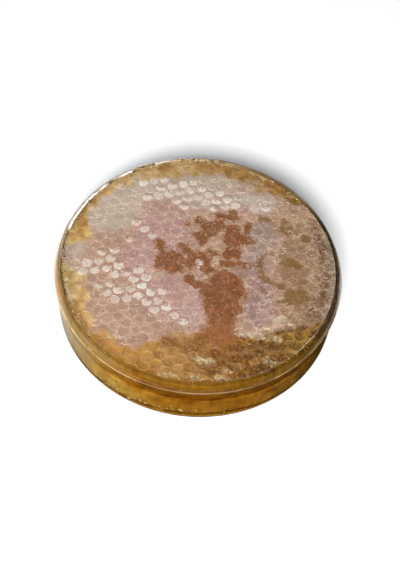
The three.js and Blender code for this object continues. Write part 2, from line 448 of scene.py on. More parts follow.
@dataclass(frozen=True)
class Bend:
    """A corner of a turned profile.

    Args:
        out: Radius from the axis.
        up: Height.
        round: How far the corner is rounded.
        wet: Whether honey wets the stretch from here to the next corner, which then shows no gloss.
        matt: How far that stretch is cloudy, or hidden by a film, from 0 to 1; on the lid the cloudy
            stretches are painted highlights.
        frost: How far that stretch takes its finish's edge, of chips or of dried film, from 0 to 1; on the
            lid this is a painted dark outline and white chips that are painted highlights.
    """

    out: float
    up: float
    round: float = 0.0
    wet: bool = False
    matt: float = 0.0
    frost: float = 0.0


@dataclass(frozen=True)
class Turned:
    """A smooth solid of revolution about Z, from a profile that starts and ends on the axis.

    Args:
        bends: The profile's corners, outwards and up from the axis.
        turns: Faces round the axis.
        steps: Faces in each rounded corner.
        brace: How far from a corner a long straight stretch gets a second ring, to keep it flat.
    """

    bends: Sequence[Bend]
    turns: int = 240
    steps: int = 5
    brace: float = 0.25

    def profile(self) -> list[tuple[Vector, Bend]]:
        """Rounds the profile's corners.

        Returns:
            Each point, with the bend that it belongs to.
        """
        spots = [Vector((bend.out, bend.up)) for bend in self.bends]
        line = [(spots[0], self.bends[0])]
        for before, spot, after, bend in zip(spots, spots[1:], spots[2:], self.bends[1:]):
            if bend.round <= 0:
                line.append((spot, bend))
                continue
            back = before - spot
            on = after - spot
            angle = back.angle(on)
            reach = min(bend.round / math.tan(angle / 2), 0.48 * back.length, 0.48 * on.length)
            start = spot + back.normalized() * reach
            end = spot + on.normalized() * reach
            for step in range(self.steps + 1):
                share = step / self.steps
                line.append((start.lerp(spot, share).lerp(spot.lerp(end, share), share), bend))
        line.append((spots[-1], self.bends[-1]))
        return self.braced(line)

    def braced(self, line: Sequence[tuple[Vector, Bend]]) -> list[tuple[Vector, Bend]]:
        """Adds a point near both ends of each long straight stretch.

        Args:
            line: The rounded profile.

        Returns:
            The profile with those points.
        """
        done = [line[0]]
        for (start, bend), (end, next_bend) in zip(line, line[1:]):
            length = (end - start).length
            if length > 4 * self.brace:
                done.append((start.lerp(end, self.brace / length), bend))
                done.append((end.lerp(start, self.brace / length), bend))
            done.append((end, next_bend))
        return done

    def mesh(self, name: str) -> bpy.types.Mesh:
        """Makes the closed, smooth mesh, with "wet", "matt" and "frost" as numbers on each face.

        Args:
            name: The mesh's name.

        Returns:
            The mesh.
        """
        line = self.profile()
        angles = np.linspace(0, 2 * np.pi, self.turns, endpoint=False)
        rings = line[1:-1]
        points = [(0.0, 0.0, line[0][0].y)]
        for spot, _ in rings:
            points += [(spot.x * c, spot.x * s, spot.y) for c, s in zip(np.cos(angles), np.sin(angles))]
        points.append((0.0, 0.0, line[-1][0].y))
        top = len(points) - 1
        faces: list[tuple[int, ...]] = []
        for turn in range(self.turns):
            after = (turn + 1) % self.turns
            faces.append((0, 1 + after, 1 + turn))
            for ring in range(len(rings) - 1):
                low = 1 + ring * self.turns
                high = low + self.turns
                faces.append((low + turn, low + after, high + after, high + turn))
            last = 1 + (len(rings) - 1) * self.turns
            faces.append((last + turn, last + after, top))
        made = bpy.data.meshes.new(name)
        made.from_pydata([(x * MM, y * MM, z * MM) for x, y, z in points], [], faces)
        made.shade_smooth()
        for mark in ("wet", "matt", "frost"):
            marks = [float(getattr(bend, mark)) for _, bend in line[:-1]]
            keep(made, mark, np.tile(marks, self.turns), "FACE")
        return made


# ------------------------------------------------------------------------------------- plan patches


@dataclass(frozen=True)
class Oval:
    """An oval in plan: its centre, half lengths and turn in degrees."""

    x: float
    y: float
    a: float
    b: float
    turn: float = 0.0

    def depth(self, plan: np.ndarray) -> np.ndarray:
        """How far points are inside the edge, and below 0 outside.

        Args:
            plan: Points in plan, in millimetres.

        Returns:
            One depth in millimetres for each point.
        """
        cosine = math.cos(math.radians(self.turn))
        sine = math.sin(math.radians(self.turn))
        across = plan[:, 0] - self.x
        along = plan[:, 1] - self.y
        lengthwise = (across * cosine + along * sine) / self.a
        crosswise = (along * cosine - across * sine) / self.b
        return (1 - np.hypot(lengthwise, crosswise)) * min(self.a, self.b)


@dataclass(frozen=True)
class Streak:
    """A band of even width along a bent line in plan."""

    line: Sequence[Point]
    half: float

    def depth(self, plan: np.ndarray) -> np.ndarray:
        """How far points are inside the edge, and below 0 outside.

        Args:
            plan: Points in plan, in millimetres.

        Returns:
            One depth in millimetres for each point.
        """
        best = np.full(len(plan), -1e9)
        for start, end in zip(np.array(self.line[:-1], float), np.array(self.line[1:], float)):
            run = end - start
            share = np.clip(((plan - start) @ run) / (run @ run), 0, 1)
            gap = np.linalg.norm(plan - start - share[:, None] * run, axis=1)
            best = np.maximum(best, self.half - gap)
        return best


Mark = Oval | Streak


def depth_in(marks: Iterable[Mark], plan: np.ndarray) -> np.ndarray:
    """How far points are inside the nearest of some marks, and below 0 outside all of them."""
    return np.max([mark.depth(plan) for mark in marks], axis=0)


def waves(plan: np.ndarray, length: float, seed: int) -> np.ndarray:
    """Smooth seeded unevenness in plan, about -1 to 1.

    Args:
        plan: Points in plan, in millimetres.
        length: Width of a wave.
        seed: Picks the pattern.

    Returns:
        One number for each point.
    """
    dice = np.random.default_rng(seed)
    total = np.zeros(len(plan))
    count = 9
    for _ in range(count):
        angle = dice.uniform(0, 2 * np.pi)
        rate = 2 * np.pi / (length * dice.uniform(0.7, 1.6))
        heading = np.array([math.cos(angle), math.sin(angle)])
        total += np.sin(plan @ heading * rate + dice.uniform(0, 2 * np.pi))
    return total / math.sqrt(count) * 1.1


@dataclass(frozen=True)
class Wash:
    """A colour laid over part of the comb's upper face, soft at its edge."""

    colour: Tone
    marks: Sequence[Mark]
    soft: float = 4.0
    strength: float = 1.0


def washed(colour: np.ndarray, washes: Iterable[Wash], plan: np.ndarray) -> np.ndarray:
    """Lays washes over some colours, one after another.

    Args:
        colour: One colour for each point.
        washes: The washes, in order.
        plan: The points in plan, in millimetres.

    Returns:
        The new colours.
    """
    for wash in washes:
        share = smooth(depth_in(wash.marks, plan), -wash.soft / 2, wash.soft / 2) * wash.strength
        colour = blend(colour, wash.colour, share)
    return colour


# ------------------------------------------------------------------------------------- finishes


@dataclass(frozen=True)
class ClearPlastic:
    """Clear moulded plastic, very slightly yellow and hazy, with painted highlights and a painted dark
    outline on its edges.
    """

    tint: Tone = (0.985, 0.98, 0.965)
    # painted shade: the edge tint darkens the lid's outer edge into a dark outline
    edge: Tone = (0.58, 0.55, 0.51)
    # the cloudy and frosty colours are painted highlights
    cloudy: Tone = tone(230, 192, 132)
    frosty: Tone = tone(250, 246, 240)
    bends_light: float = 1.42
    # each range is two radii in metres, with a soft change between them
    wavy_rim: Range = (0.0585, 0.0605)
    gate_scar: Range = (0.0021, 0.0013)
    outlined: Range = (0.0603, 0.0607)
    glint_band_inside: Range = (0.0591, 0.0594)
    glint_band_outside: Range = (0.0604, 0.0601)

    def material(self) -> bpy.types.Material:
        """Wires the plastic.

        Returns:
            The finished material.
        """
        made = Finish("clear_plastic")
        across, along, _ = made.parts(made.place)
        out = made.math("SQRT", made.plus(made.times(across, across), made.times(along, along)))
        scar = made.step(out, *self.gate_scar)
        # painted shade: the frosted corner's outer edge is tinted darker, as a dark outline
        outline_shade = made.times(made.attribute("frost"), made.step(out, *self.outlined))
        glass = made.principled({
            "Base Color": made.mix(outline_shade, self.tint, self.edge),
            "Roughness": made.step(made.noise(60.0, 4.0), 0.45, 0.75, 0.015, 0.06),
            "IOR": self.bends_light,
            "Transmission Weight": 1.0,
            "Alpha": made.step(made.attribute("wet"), 1.0, 0.0),
            "Normal": self.ripple(made, out, scar),
        })
        # painted highlight: cream where the flange and the step catch the light, white on the lid's edge and
        # on the gate's scar
        painted_highlight = made.principled({
            "Base Color": made.mix(made.step(made.attribute("matt"), 0.1, 0.0), self.cloudy, self.frosty),
            "Roughness": made.step(made.noise(300.0), 0.3, 0.7, 0.2, 0.45),
            "IOR": 1.49,
        })
        # painted highlight: the cloudy and white stretches are strongest towards the back left, where the
        # edge catches the light
        leftward = made.minus(made.times(along, 0.6), made.times(across, 0.8))
        highlight_stretches = made.step(made.noise(150.0, 4.0, 0.6), 0.36, 0.6, 0.35, 1.0)
        highlight_stretches = made.times(highlight_stretches, made.step(leftward, -0.045, 0.055, 0.3, 1.0))
        # painted glints: the gate's torn scar is speckled white
        torn = made.times(scar, made.step(made.noise(1900.0, 2.0), 0.53, 0.62, 0.0, 0.4))
        painted_glints = made.plus(self.chips(made, out, leftward), torn)
        share = made.plus(made.times(made.attribute("matt"), highlight_stretches), painted_glints, clamp=True)
        mixed = made.add("ShaderNodeMixShader", {0: share, 1: glass, 2: painted_highlight}).outputs[0]
        return made.surface(made.lets_light_in(mixed, (0.97, 0.97, 0.96)))

    def ripple(self, made: Finish, out: Any, scar: Any) -> bpy.types.NodeSocket:
        """A nearly flat panel with a wavy rim, torn where the gate was cut off.

        Args:
            made: The plastic's material.
            out: Distance from the axis.
            scar: How far a place is on the gate's scar.

        Returns:
            The bumped normal.
        """
        panel = made.times(made.noise(45.0, 2.0), 0.25)
        rim = made.times(made.step(out, *self.wavy_rim, 0.0, 0.12), made.noise(95.0, 1.0))
        torn = made.times(scar, made.noise(1500.0, 2.0), 0.5)
        return made.bump(made.plus(panel, rim, torn), 0.0004)

    def chips(self, made: Finish, out: Any, leftward: Any) -> bpy.types.NodeSocket:
        """Short white stretches on the lid's edge round its back left: painted highlights, drawn as chips.

        Args:
            made: The plastic's material.
            out: Distance from the axis.
            leftward: Distance towards the back left.

        Returns:
            How much of the surface is painted white there.
        """
        corner = made.times(made.step(out, *self.glint_band_inside), made.step(out, *self.glint_band_outside))
        stretches = made.step(made.noise(70.0, 1.0), 0.43, 0.52)
        crumbly = made.step(made.noise(400.0, 3.0), 0.3, 0.44)
        placed_left = made.step(leftward, 0.044, 0.056)
        return made.times(made.attribute("frost"), corner, placed_left, stretches, crumbly)


@dataclass(frozen=True)
class Honey:
    """Amber honey, darker the deeper it is, over a floor of fine wax and pollen."""

    colour: Tone = (0.773, 0.70, 0.13)
    density: float = 260.0
    lees: Tone = tone(178, 122, 44)
    lees_pale: Tone = tone(222, 184, 104)
    film_lit_left: Tone = tone(216, 190, 150)
    film_back: Tone = tone(206, 170, 116)
    film_shaded_right: Tone = tone(62, 40, 22)
    film_lip: Tone = tone(146, 122, 98)
    film_amber: Tone = tone(168, 116, 50)
    film_dusk: Tone = tone(110, 78, 40)
    film_straw: Tone = tone(188, 158, 104)
    # each range is two places in metres, with a soft change between them
    behind: Range = (-0.028, 0.012)
    flanks: Range = (0.049, 0.058)
    foot_band: Range = (0.0030, 0.0016)
    under_lid: Range = (0.0195, 0.0215)
    lip_band: Range = (0.0215, 0.0235)

    def film(self, made: Finish) -> tuple[Any, Any]:
        """The thin film of wax that clings to the case under the lid, all but at the front; its pale left and
        dark right are partly painted light and shade.

        Args:
            made: The honey's material.

        Returns:
            How much of it there is, and its colour.
        """
        across, along, height = made.parts(made.place)
        foot = made.step(height, *self.foot_band, 0.0, 0.85)
        round_back = made.most(
            made.step(along, *self.behind), made.step(made.math("ABSOLUTE", across), *self.flanks),
        )
        cover = made.most(made.times(round_back, made.step(height, *self.under_lid)), foot)
        # a ring of it has dried on, at the honey's edge under the lid
        ring = made.times(made.attribute("frost"), made.step(across, 0.03, -0.01))
        dried = made.step(made.noise(420.0, 2.0), 0.36, 0.52)
        dried = made.times(ring, made.step(along, -0.035, -0.01), dried, 0.85)
        # paler at the left and dark at the right, partly the film's colour and partly painted light and shade
        tint = made.mix(made.step(across, -0.052, -0.03), self.film_lit_left, self.film_back)
        tint = made.mix(made.step(across, 0.035, 0.056), tint, self.film_shaded_right)
        lip = made.times(made.step(height, *self.lip_band), made.step(across, 0.05, 0.035))
        lip_tint = made.mix(made.step(along, 0.004, -0.02), self.film_lip, self.film_amber)
        tint = made.mix(made.times(lip, made.attribute("wet")), tint, lip_tint)
        streaks = made.step(made.noise(260.0, 4.0, 0.6), 0.46, 0.66, 0.0, 0.55)
        # the streaks too are paler at the left and darker at the right, partly painted light and shade
        streaked = made.mix(made.step(across, -0.02, -0.045), self.film_dusk, self.film_straw)
        tint = made.mix(made.most(streaks, foot), tint, streaked)
        tint = made.mix(made.times(ring, 0.4), tint, self.film_lip)
        return made.plus(made.times(made.attribute("wet"), cover), dried), tint

    def material(self) -> bpy.types.Material:
        """Wires the honey.

        Returns:
            The finished material.
        """
        made = Finish("honey")
        film, film_tint = self.film(made)
        glass = made.principled({
            "Base Color": (1.0, 1.0, 1.0),
            "Roughness": made.step(made.noise(300.0, 3.0), 0.3, 0.7, 0.05, 0.22),
            "IOR": 1.30,
            "Transmission Weight": 1.0,
            "Alpha": made.step(made.attribute("wet"), 1.0, 0.0),
            "Normal": made.bump(made.noise(90.0, 2.0), 0.0006, 0.35),
        })
        clots = made.mix(made.step(made.noise(260.0, 4.0, 0.65), 0.45, 0.68), self.lees, self.lees_pale)
        on_film = made.plus(made.attribute("wet"), made.attribute("frost"), clamp=True)
        floor = made.principled({
            "Base Color": made.mix(on_film, clots, film_tint),
            "Roughness": made.step(made.noise(400.0), 0.3, 0.7, 0.35, 0.6),
            "IOR": 1.4,
        })
        clear = made.lets_light_in(glass, (0.97, 0.97, 0.97))
        solid = made.plus(made.attribute("matt"), film, clamp=True)
        body = made.add("ShaderNodeMixShader", {0: solid, 1: clear, 2: floor}).outputs[0]
        volume = {"Color": self.colour, "Density": self.density}
        return made.surface(body, made.add("ShaderNodeVolumeAbsorption", volume).outputs[0])


@dataclass(frozen=True)
class CombWax:
    """The comb's wax: its washes, soaked and olive patches, pale cell edges and fine mottling."""

    soaked: Tone = tone(134, 78, 38)
    soaked_warm: Tone = tone(166, 108, 66)
    soaked_deep: Tone = tone(112, 66, 30)
    soaked_edge: Tone = tone(150, 104, 50)
    olive: Tone = tone(120, 88, 34)
    capping: Tone = tone(238, 228, 219)
    edge: Tone = tone(212, 188, 166)
    flake: Tone = tone(216, 200, 172)
    # gap: painted shade at the far side of a dry capping
    gap: Tone = tone(138, 102, 78)
    shade: Tone = tone(96, 66, 44)
    honeyed_edge: Tone = tone(204, 152, 72)
    honeyed_shade: Tone = tone(118, 78, 22)

    def material(self) -> bpy.types.Material:
        """Wires the wax.

        Returns:
            The finished material.
        """
        made = Finish("wax_comb")
        grain = made.noise(620.0, 5.0, 0.7)
        blotch = made.noise(170.0, 3.0)
        edge = made.mix(made.attribute("gold"), self.edge, self.honeyed_edge)
        base = self.cappings(made, grain, blotch, edge)
        base, soak, hidden = self.patches(made, grain, base)
        gloss = made.minus(blotch, made.times(soak, 0.25))
        return made.surface(made.principled({
            "Base Color": self.mottled(made, (grain, blotch), base, edge, hidden),
            "Roughness": made.step(gloss, 0.1, 0.7, 0.3, 0.62),
            "IOR": 1.44,
            "Specular IOR Level": 0.2,
            "Normal": made.bump(grain, 0.00025, 0.6),
        }))

    def cappings(self, made: Finish, grain: Any, blotch: Any, edge: Any) -> bpy.types.NodeSocket:
        """The washes, with each cell's own lighter or darker tone, its front edge painted pale as a
        highlight, and its dry white capping with painted shade at its far side.

        Args:
            made: The wax's material.
            grain: Fine noise.
            blotch: Coarse noise.
            edge: Colour of the cells' edges.

        Returns:
            The colour's output.
        """
        inset = made.attribute("inset")
        lean = made.attribute("lean")
        cell_tone = made.attribute("cell_tone")
        shade = made.step(made.attribute("gold"), 0.0, 1.0, 0.59, 0.65)
        shade = made.plus(made.times(cell_tone, 0.13), shade)
        toned = made.add("ShaderNodeCombineColor", {0: shade, 1: shade, 2: shade}).outputs[0]
        base = made.mix(1.0, made.attribute("wash", "Color"), toned, "MULTIPLY")
        # the front edge of a cell's capping catches the light
        crescent = made.times(made.step(inset, 0.5, 0.08), made.step(lean, 0.6, -0.5, 0.25, 1.0))
        crescent = made.times(crescent, made.step(blotch, 0.36, 0.56), made.attribute("edge_light"))
        base = made.mix(crescent, base, edge)
        # dry cappings are whiter on their near half, with a ragged edge, partly their own white and partly
        # painted light; the darker colour at their far side is painted shade
        dry = made.attribute("dry")
        rough = made.swing(made.noise(480.0, 5.0, 0.7), 4.2)
        frayed = made.plus(lean, made.swing(cell_tone, 0.9), rough)
        bright = made.times(dry, made.step(frayed, 0.55, 0.15), made.step(grain, 0.3, 0.6, 0.7, 1.0))
        bright = made.times(bright, made.step(made.minus(inset, made.times(rough, 0.5)), 0.24, 0.62))
        base = made.mix(bright, base, self.capping)
        # painted shade: the far side of a dry capping is darkened
        behind = made.times(dry, made.step(frayed, 0.55, 0.95, 0.0, 0.45))
        return made.mix(behind, base, self.gap)

    def patches(self, made: Finish, grain: Any, base: Any) -> tuple[Any, Any, Any]:
        """The patches that honey has soaked, the olive spots and bits of torn capping, all with ragged edges.

        Args:
            made: The wax's material.
            grain: Fine noise.
            base: The colour under them.

        Returns:
            The colour's output, how far the wax is soaked, and how far patches hide it.
        """
        ragged = made.swing(made.noise(560.0, 5.0, 0.72), 7.5)
        soaking = made.plus(made.attribute("soak"), ragged)
        base = made.mix(made.times(made.step(soaking, -1.5, -0.3), 0.6), base, self.soaked_edge)
        soak = made.step(soaking, -0.6, 0.3)
        brown = made.mix(made.step(made.noise(560.0, 4.0, 0.6), 0.4, 0.56), self.soaked_deep, self.soaked)
        brown = made.mix(made.step(grain, 0.5, 0.72, 0.0, 0.6), brown, self.soaked_warm)
        # warmer towards the front and deeper towards the back
        along = made.parts(made.place)[1]
        brown = made.mix(made.step(along, -0.022, -0.034, 0.0, 0.38), brown, self.soaked_warm)
        brown = made.mix(made.step(along, 0.010, 0.022, 0.0, 0.3), brown, self.soaked_deep)
        base = made.mix(made.times(soak, 0.95), base, brown)
        spots = made.step(made.plus(made.attribute("olive"), ragged), -0.4, 0.8)
        base = made.mix(made.times(spots, 0.85), base, self.olive)
        torn = made.step(made.plus(made.attribute("fleck"), ragged), -0.4, 0.8)
        torn = made.times(torn, made.step(made.noise(800.0, 2.0, 0.6), 0.42, 0.58, 0.15, 1.0), 0.85)
        return made.mix(torn, base, self.flake), soak, made.most(soak, spots)

    def mottled(self, made: Finish, noises: tuple[Any, Any], base: Any, edge: Any, hidden: Any) -> Any:
        """Fine light and dark mottling with light threads of wax, fainter on the patches.

        Args:
            made: The wax's material.
            noises: Fine and coarse noise.
            base: The colour under it.
            edge: The light colour.
            hidden: How far patches hide the wax.

        Returns:
            The colour's output.
        """
        grain, blotch = noises
        quiet = made.minus(1.0, made.times(hidden, 0.75))
        dark = made.mix(made.attribute("gold"), self.shade, self.honeyed_shade)
        base = made.mix(made.times(made.step(grain, 0.56, 0.74, 0.0, 0.62), quiet), base, edge)
        base = made.mix(made.step(grain, 0.44, 0.26, 0.0, 0.66), base, dark)
        threads = made.times(made.thread(520.0, 0.045), made.step(blotch, 0.42, 0.58, 0.0, 0.75), quiet)
        base = made.mix(threads, base, edge)
        specks = made.noise(1500.0, 3.0, 0.6)
        base = made.mix(made.times(made.step(specks, 0.54, 0.68, 0.0, 0.25), quiet), base, edge)
        return made.mix(made.step(specks, 0.46, 0.32, 0.0, 0.25), base, dark)


@dataclass(frozen=True)
class LooseWax:
    """Pale chips and shreds of wax, a few of them dark."""

    pale: Tone = tone(224, 206, 170)
    deep: Tone = tone(184, 146, 88)
    dark: Tone = tone(118, 80, 42)

    def material(self) -> bpy.types.Material:
        """Wires the chips' wax.

        Returns:
            The finished material.
        """
        made = Finish("loose_wax")
        colour = made.mix(made.step(made.noise(350.0, 3.0), 0.35, 0.65), self.deep, self.pale)
        return made.surface(made.principled({
            "Base Color": made.mix(made.step(made.noise(420.0, 1.0), 0.56, 0.6), colour, self.dark),
            "Roughness": made.step(made.noise(900.0), 0.3, 0.7, 0.3, 0.55),
            "IOR": 1.44,
        }))


@dataclass(frozen=True)
class DarkFibre:
    """A dark brown fibre."""

    root: Tone = tone(58, 34, 14)
    tip: Tone = tone(98, 62, 26)

    def material(self) -> bpy.types.Material:
        """Wires the fibre's brown.

        Returns:
            The finished material.
        """
        made = Finish("dark_fibre")
        colour = made.mix(made.step(made.noise(900.0, 2.0), 0.4, 0.6), self.root, self.tip)
        return made.surface(made.principled({"Base Color": colour, "Roughness": 0.6}))


@dataclass(frozen=True)
class CurlWax:
    """Thin curls of wax, a little lighter than what they lie on."""

    gleam: Tone = tone(250, 238, 214)

    def material(self) -> bpy.types.Material:
        """Wires the curls' wax.

        Returns:
            The finished material.
        """
        made = Finish("curled_wax")
        # painted gleam: here and there a curl is mixed a little towards near white
        lighter = made.step(made.noise(500.0, 3.0), 0.4, 0.7, 0.0, 0.1)
        return made.surface(made.principled({
            "Base Color": made.mix(lighter, made.attribute("curl", "Color"), self.gleam),
            "Roughness": made.step(made.noise(800.0), 0.3, 0.7, 0.25, 0.5),
            "IOR": 1.44,
            "Specular IOR Level": 0.2,
        }))


@dataclass(frozen=True)
class PaleBench:
    """A matt white bench top whose colour in glossy rays is a painted reflection: a pale card, a dark flag or
    the white itself.
    """

    colour: Tone = (0.93, 0.93, 0.93)
    colour_cool: Tone = (0.92, 0.92, 0.925)
    card: Tone = (0.52, 0.50, 0.45)
    flag: Tone = (0.028, 0.017, 0.005)
    # each range is two places in metres, with a soft change between them
    card_from: Range = (-0.042, -0.066)
    white_from: Range = (0.02, 0.05)

    def material(self) -> bpy.types.Material:
        """Wires the bench top.

        Returns:
            The finished material.
        """
        made = Finish("pale_bench")
        colour = made.mix(made.step(made.noise(3.0), 0.3, 0.7), self.colour, self.colour_cool)
        across, along, _ = made.parts(made.place)
        # painted reflection: glossy rays see a pale card at the left, a dark flag at the front and right, and
        # white at the back
        mirrored = made.mix(made.step(across, *self.card_from), self.flag, self.card)
        mirrored = made.mix(made.step(along, *self.white_from), mirrored, colour)
        path = made.add("ShaderNodeLightPath").outputs
        mirror = made.times(path["Is Glossy Ray"], made.minus(1.0, path["Is Transmission Ray"]))
        return made.surface(made.principled({
            "Base Color": made.mix(mirror, colour, mirrored),
            "Roughness": 0.9,
        }))


# ------------------------------------------------------------------------------------- the case


@dataclass
class Case:
    """The clear tray and its press-on lid.

    The two hold the comb and the honey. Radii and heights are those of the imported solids.
    """

    wall: float = 0.9
    clear: float = 0.3
    foot: float = 61.9
    mouth: float = 62.2
    foot_round: float = 2.2
    flange: float = 63.0
    flange_top: float = 23.1
    flange_thick: float = 1.1
    top: float = 27.6
    lid_round: float = 1.1
    lid_wall: float = 62.2
    lid_shoulder: float = 61.2
    collar: float = 60.3
    collar_top: float = 24.7
    gate: float = 1.7
    gate_rise: float = 0.35
    gate_round: float = 0.1
    step_rise: float = 0.7
    step_round: float = 0.15
    soft: float = 0.25
    level: float = 25.8
    climb: float = 60.1
    plastic: ClearPlastic = field(default_factory=ClearPlastic)

    @property
    def shoulder(self) -> float:
        """Height of the ledge under the lid's flange."""
        return self.flange_top - self.flange_thick - self.clear

    def inner_wall(self, height: float) -> float:
        """How wide the lid is inside at a height.

        Args:
            height: Height over the case's underside.

        Returns:
            Radius of the lid's inner wall.
        """
        foot = self.flange_top - self.flange_thick
        share = (height - foot) / (self.top - self.wall - foot)
        return self.lid_wall - self.wall + (self.lid_shoulder - self.lid_wall) * share

    def tray(self) -> Turned:
        """The tray's profile.

        Returns:
            The tray as a turned solid.
        """
        wall = self.wall
        inner_round = self.foot_round - wall
        return Turned([
            Bend(0, 0),
            Bend(self.foot, 0, self.foot_round),
            Bend(self.mouth, self.shoulder, self.soft, wet=True),
            Bend(self.collar, self.shoulder, self.soft, wet=True),
            Bend(self.collar, self.collar_top, self.soft, wet=True),
            Bend(self.collar - wall, self.collar_top, self.soft, wet=True),
            Bend(self.collar - wall, self.shoulder - wall, self.soft, wet=True),
            Bend(self.mouth - wall, self.shoulder - 2 * wall, self.soft, wet=True),
            Bend(self.foot - wall, wall, inner_round, wet=True),
            Bend(0, wall),
        ])

    def lid(self) -> Turned:
        """The lid's profile, with the flange, the step above it and the gate's mark.

        Returns:
            The lid as a turned solid.
        """
        wall = self.wall
        under = self.flange_top - self.flange_thick
        step = self.flange_top + self.step_rise
        gate_top = self.top + self.gate_rise
        return Turned([
            Bend(0, self.top - wall),
            Bend(self.climb, self.top - wall, wet=True),
            Bend(self.lid_shoulder - wall, self.top - wall, self.lid_round - wall, wet=True),
            Bend(self.lid_wall - wall, under, self.soft),
            # the cloudy stretches on the flange and the step above it are painted highlights
            Bend(self.flange, under, self.soft, matt=0.3),
            Bend(self.flange, self.flange_top, 0.22, matt=1.0),
            Bend(self.flange - 0.35, self.flange_top, matt=0.35),
            Bend(self.lid_wall + 0.1, self.flange_top + 0.1, self.step_round),
            Bend(self.lid_wall, step, self.step_round, matt=0.25),
            Bend(self.lid_wall - 0.22, step + 0.45, self.step_round),
            # the frosted corner carries the painted dark outline and the white chips that are painted
            # highlights
            Bend(self.lid_shoulder, self.top, self.lid_round, frost=1.0),
            Bend(self.lid_shoulder - 2 * self.lid_round, self.top),
            Bend(self.gate, self.top, self.gate_round),
            Bend(self.gate - self.gate_rise, gate_top, self.gate_round),
            Bend(self.gate / 2, gate_top, self.gate_round),
            Bend(self.gate / 3, gate_top - self.gate_rise / 2, self.gate_round),
            Bend(0, gate_top - self.gate_rise / 2),
        ])

    def build(self) -> list[bpy.types.Object]:
        """Makes both mouldings.

        Returns:
            The tray and the lid.
        """
        material = self.plastic.material()
        made = []
        for name, profile in (("tray_moulding", self.tray()), ("lid_moulding", self.lid())):
            mesh = profile.mesh(name)
            mesh.materials.append(material)
            made.append(placed(name, mesh))
        for moulding, node in zip(made, ("tray", "lid")):
            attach(moulding, BODY)
            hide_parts(node)
        return made


# ------------------------------------------------------------------------------------- the comb


@dataclass(frozen=True)
class Mouth:
    """The shape of a cell's mouth.

    Args:
        ridge: Height of the cell's edge over the comb's rims, in millimetres.
        floor: Height of the capping's middle, or of an open cell's floor.
        inside: Width inside the cell's wall, as a share of the whole.
        tilt: How much higher the capping's front edge is than its back edge.
        edge_light: How strongly the cell's front edge is painted pale, as a painted highlight.
    """

    ridge: float
    floor: float
    inside: float
    tilt: float
    edge_light: float


class Capping(Enum):
    """What a cell's mouth looks like."""

    DRY = Mouth(0.12, 0.22, 0.93, 0.12, 0.2)
    CREAM = Mouth(0.16, 0.26, 0.90, 0.12, 0.32)
    WET = Mouth(0.19, 0.24, 0.90, 0.12, 0.4)
    SOAKED = Mouth(0.26, 0.24, 0.88, 0.07, 0.15)
    NET = Mouth(0.22, 0.16, 0.92, 0.04, 0.44)
    FULL = Mouth(0.0, -0.04, 0.90, 0.05, 0.12)
    EMPTY = Mouth(0.05, -0.4, 0.84, 0.05, 0.5)


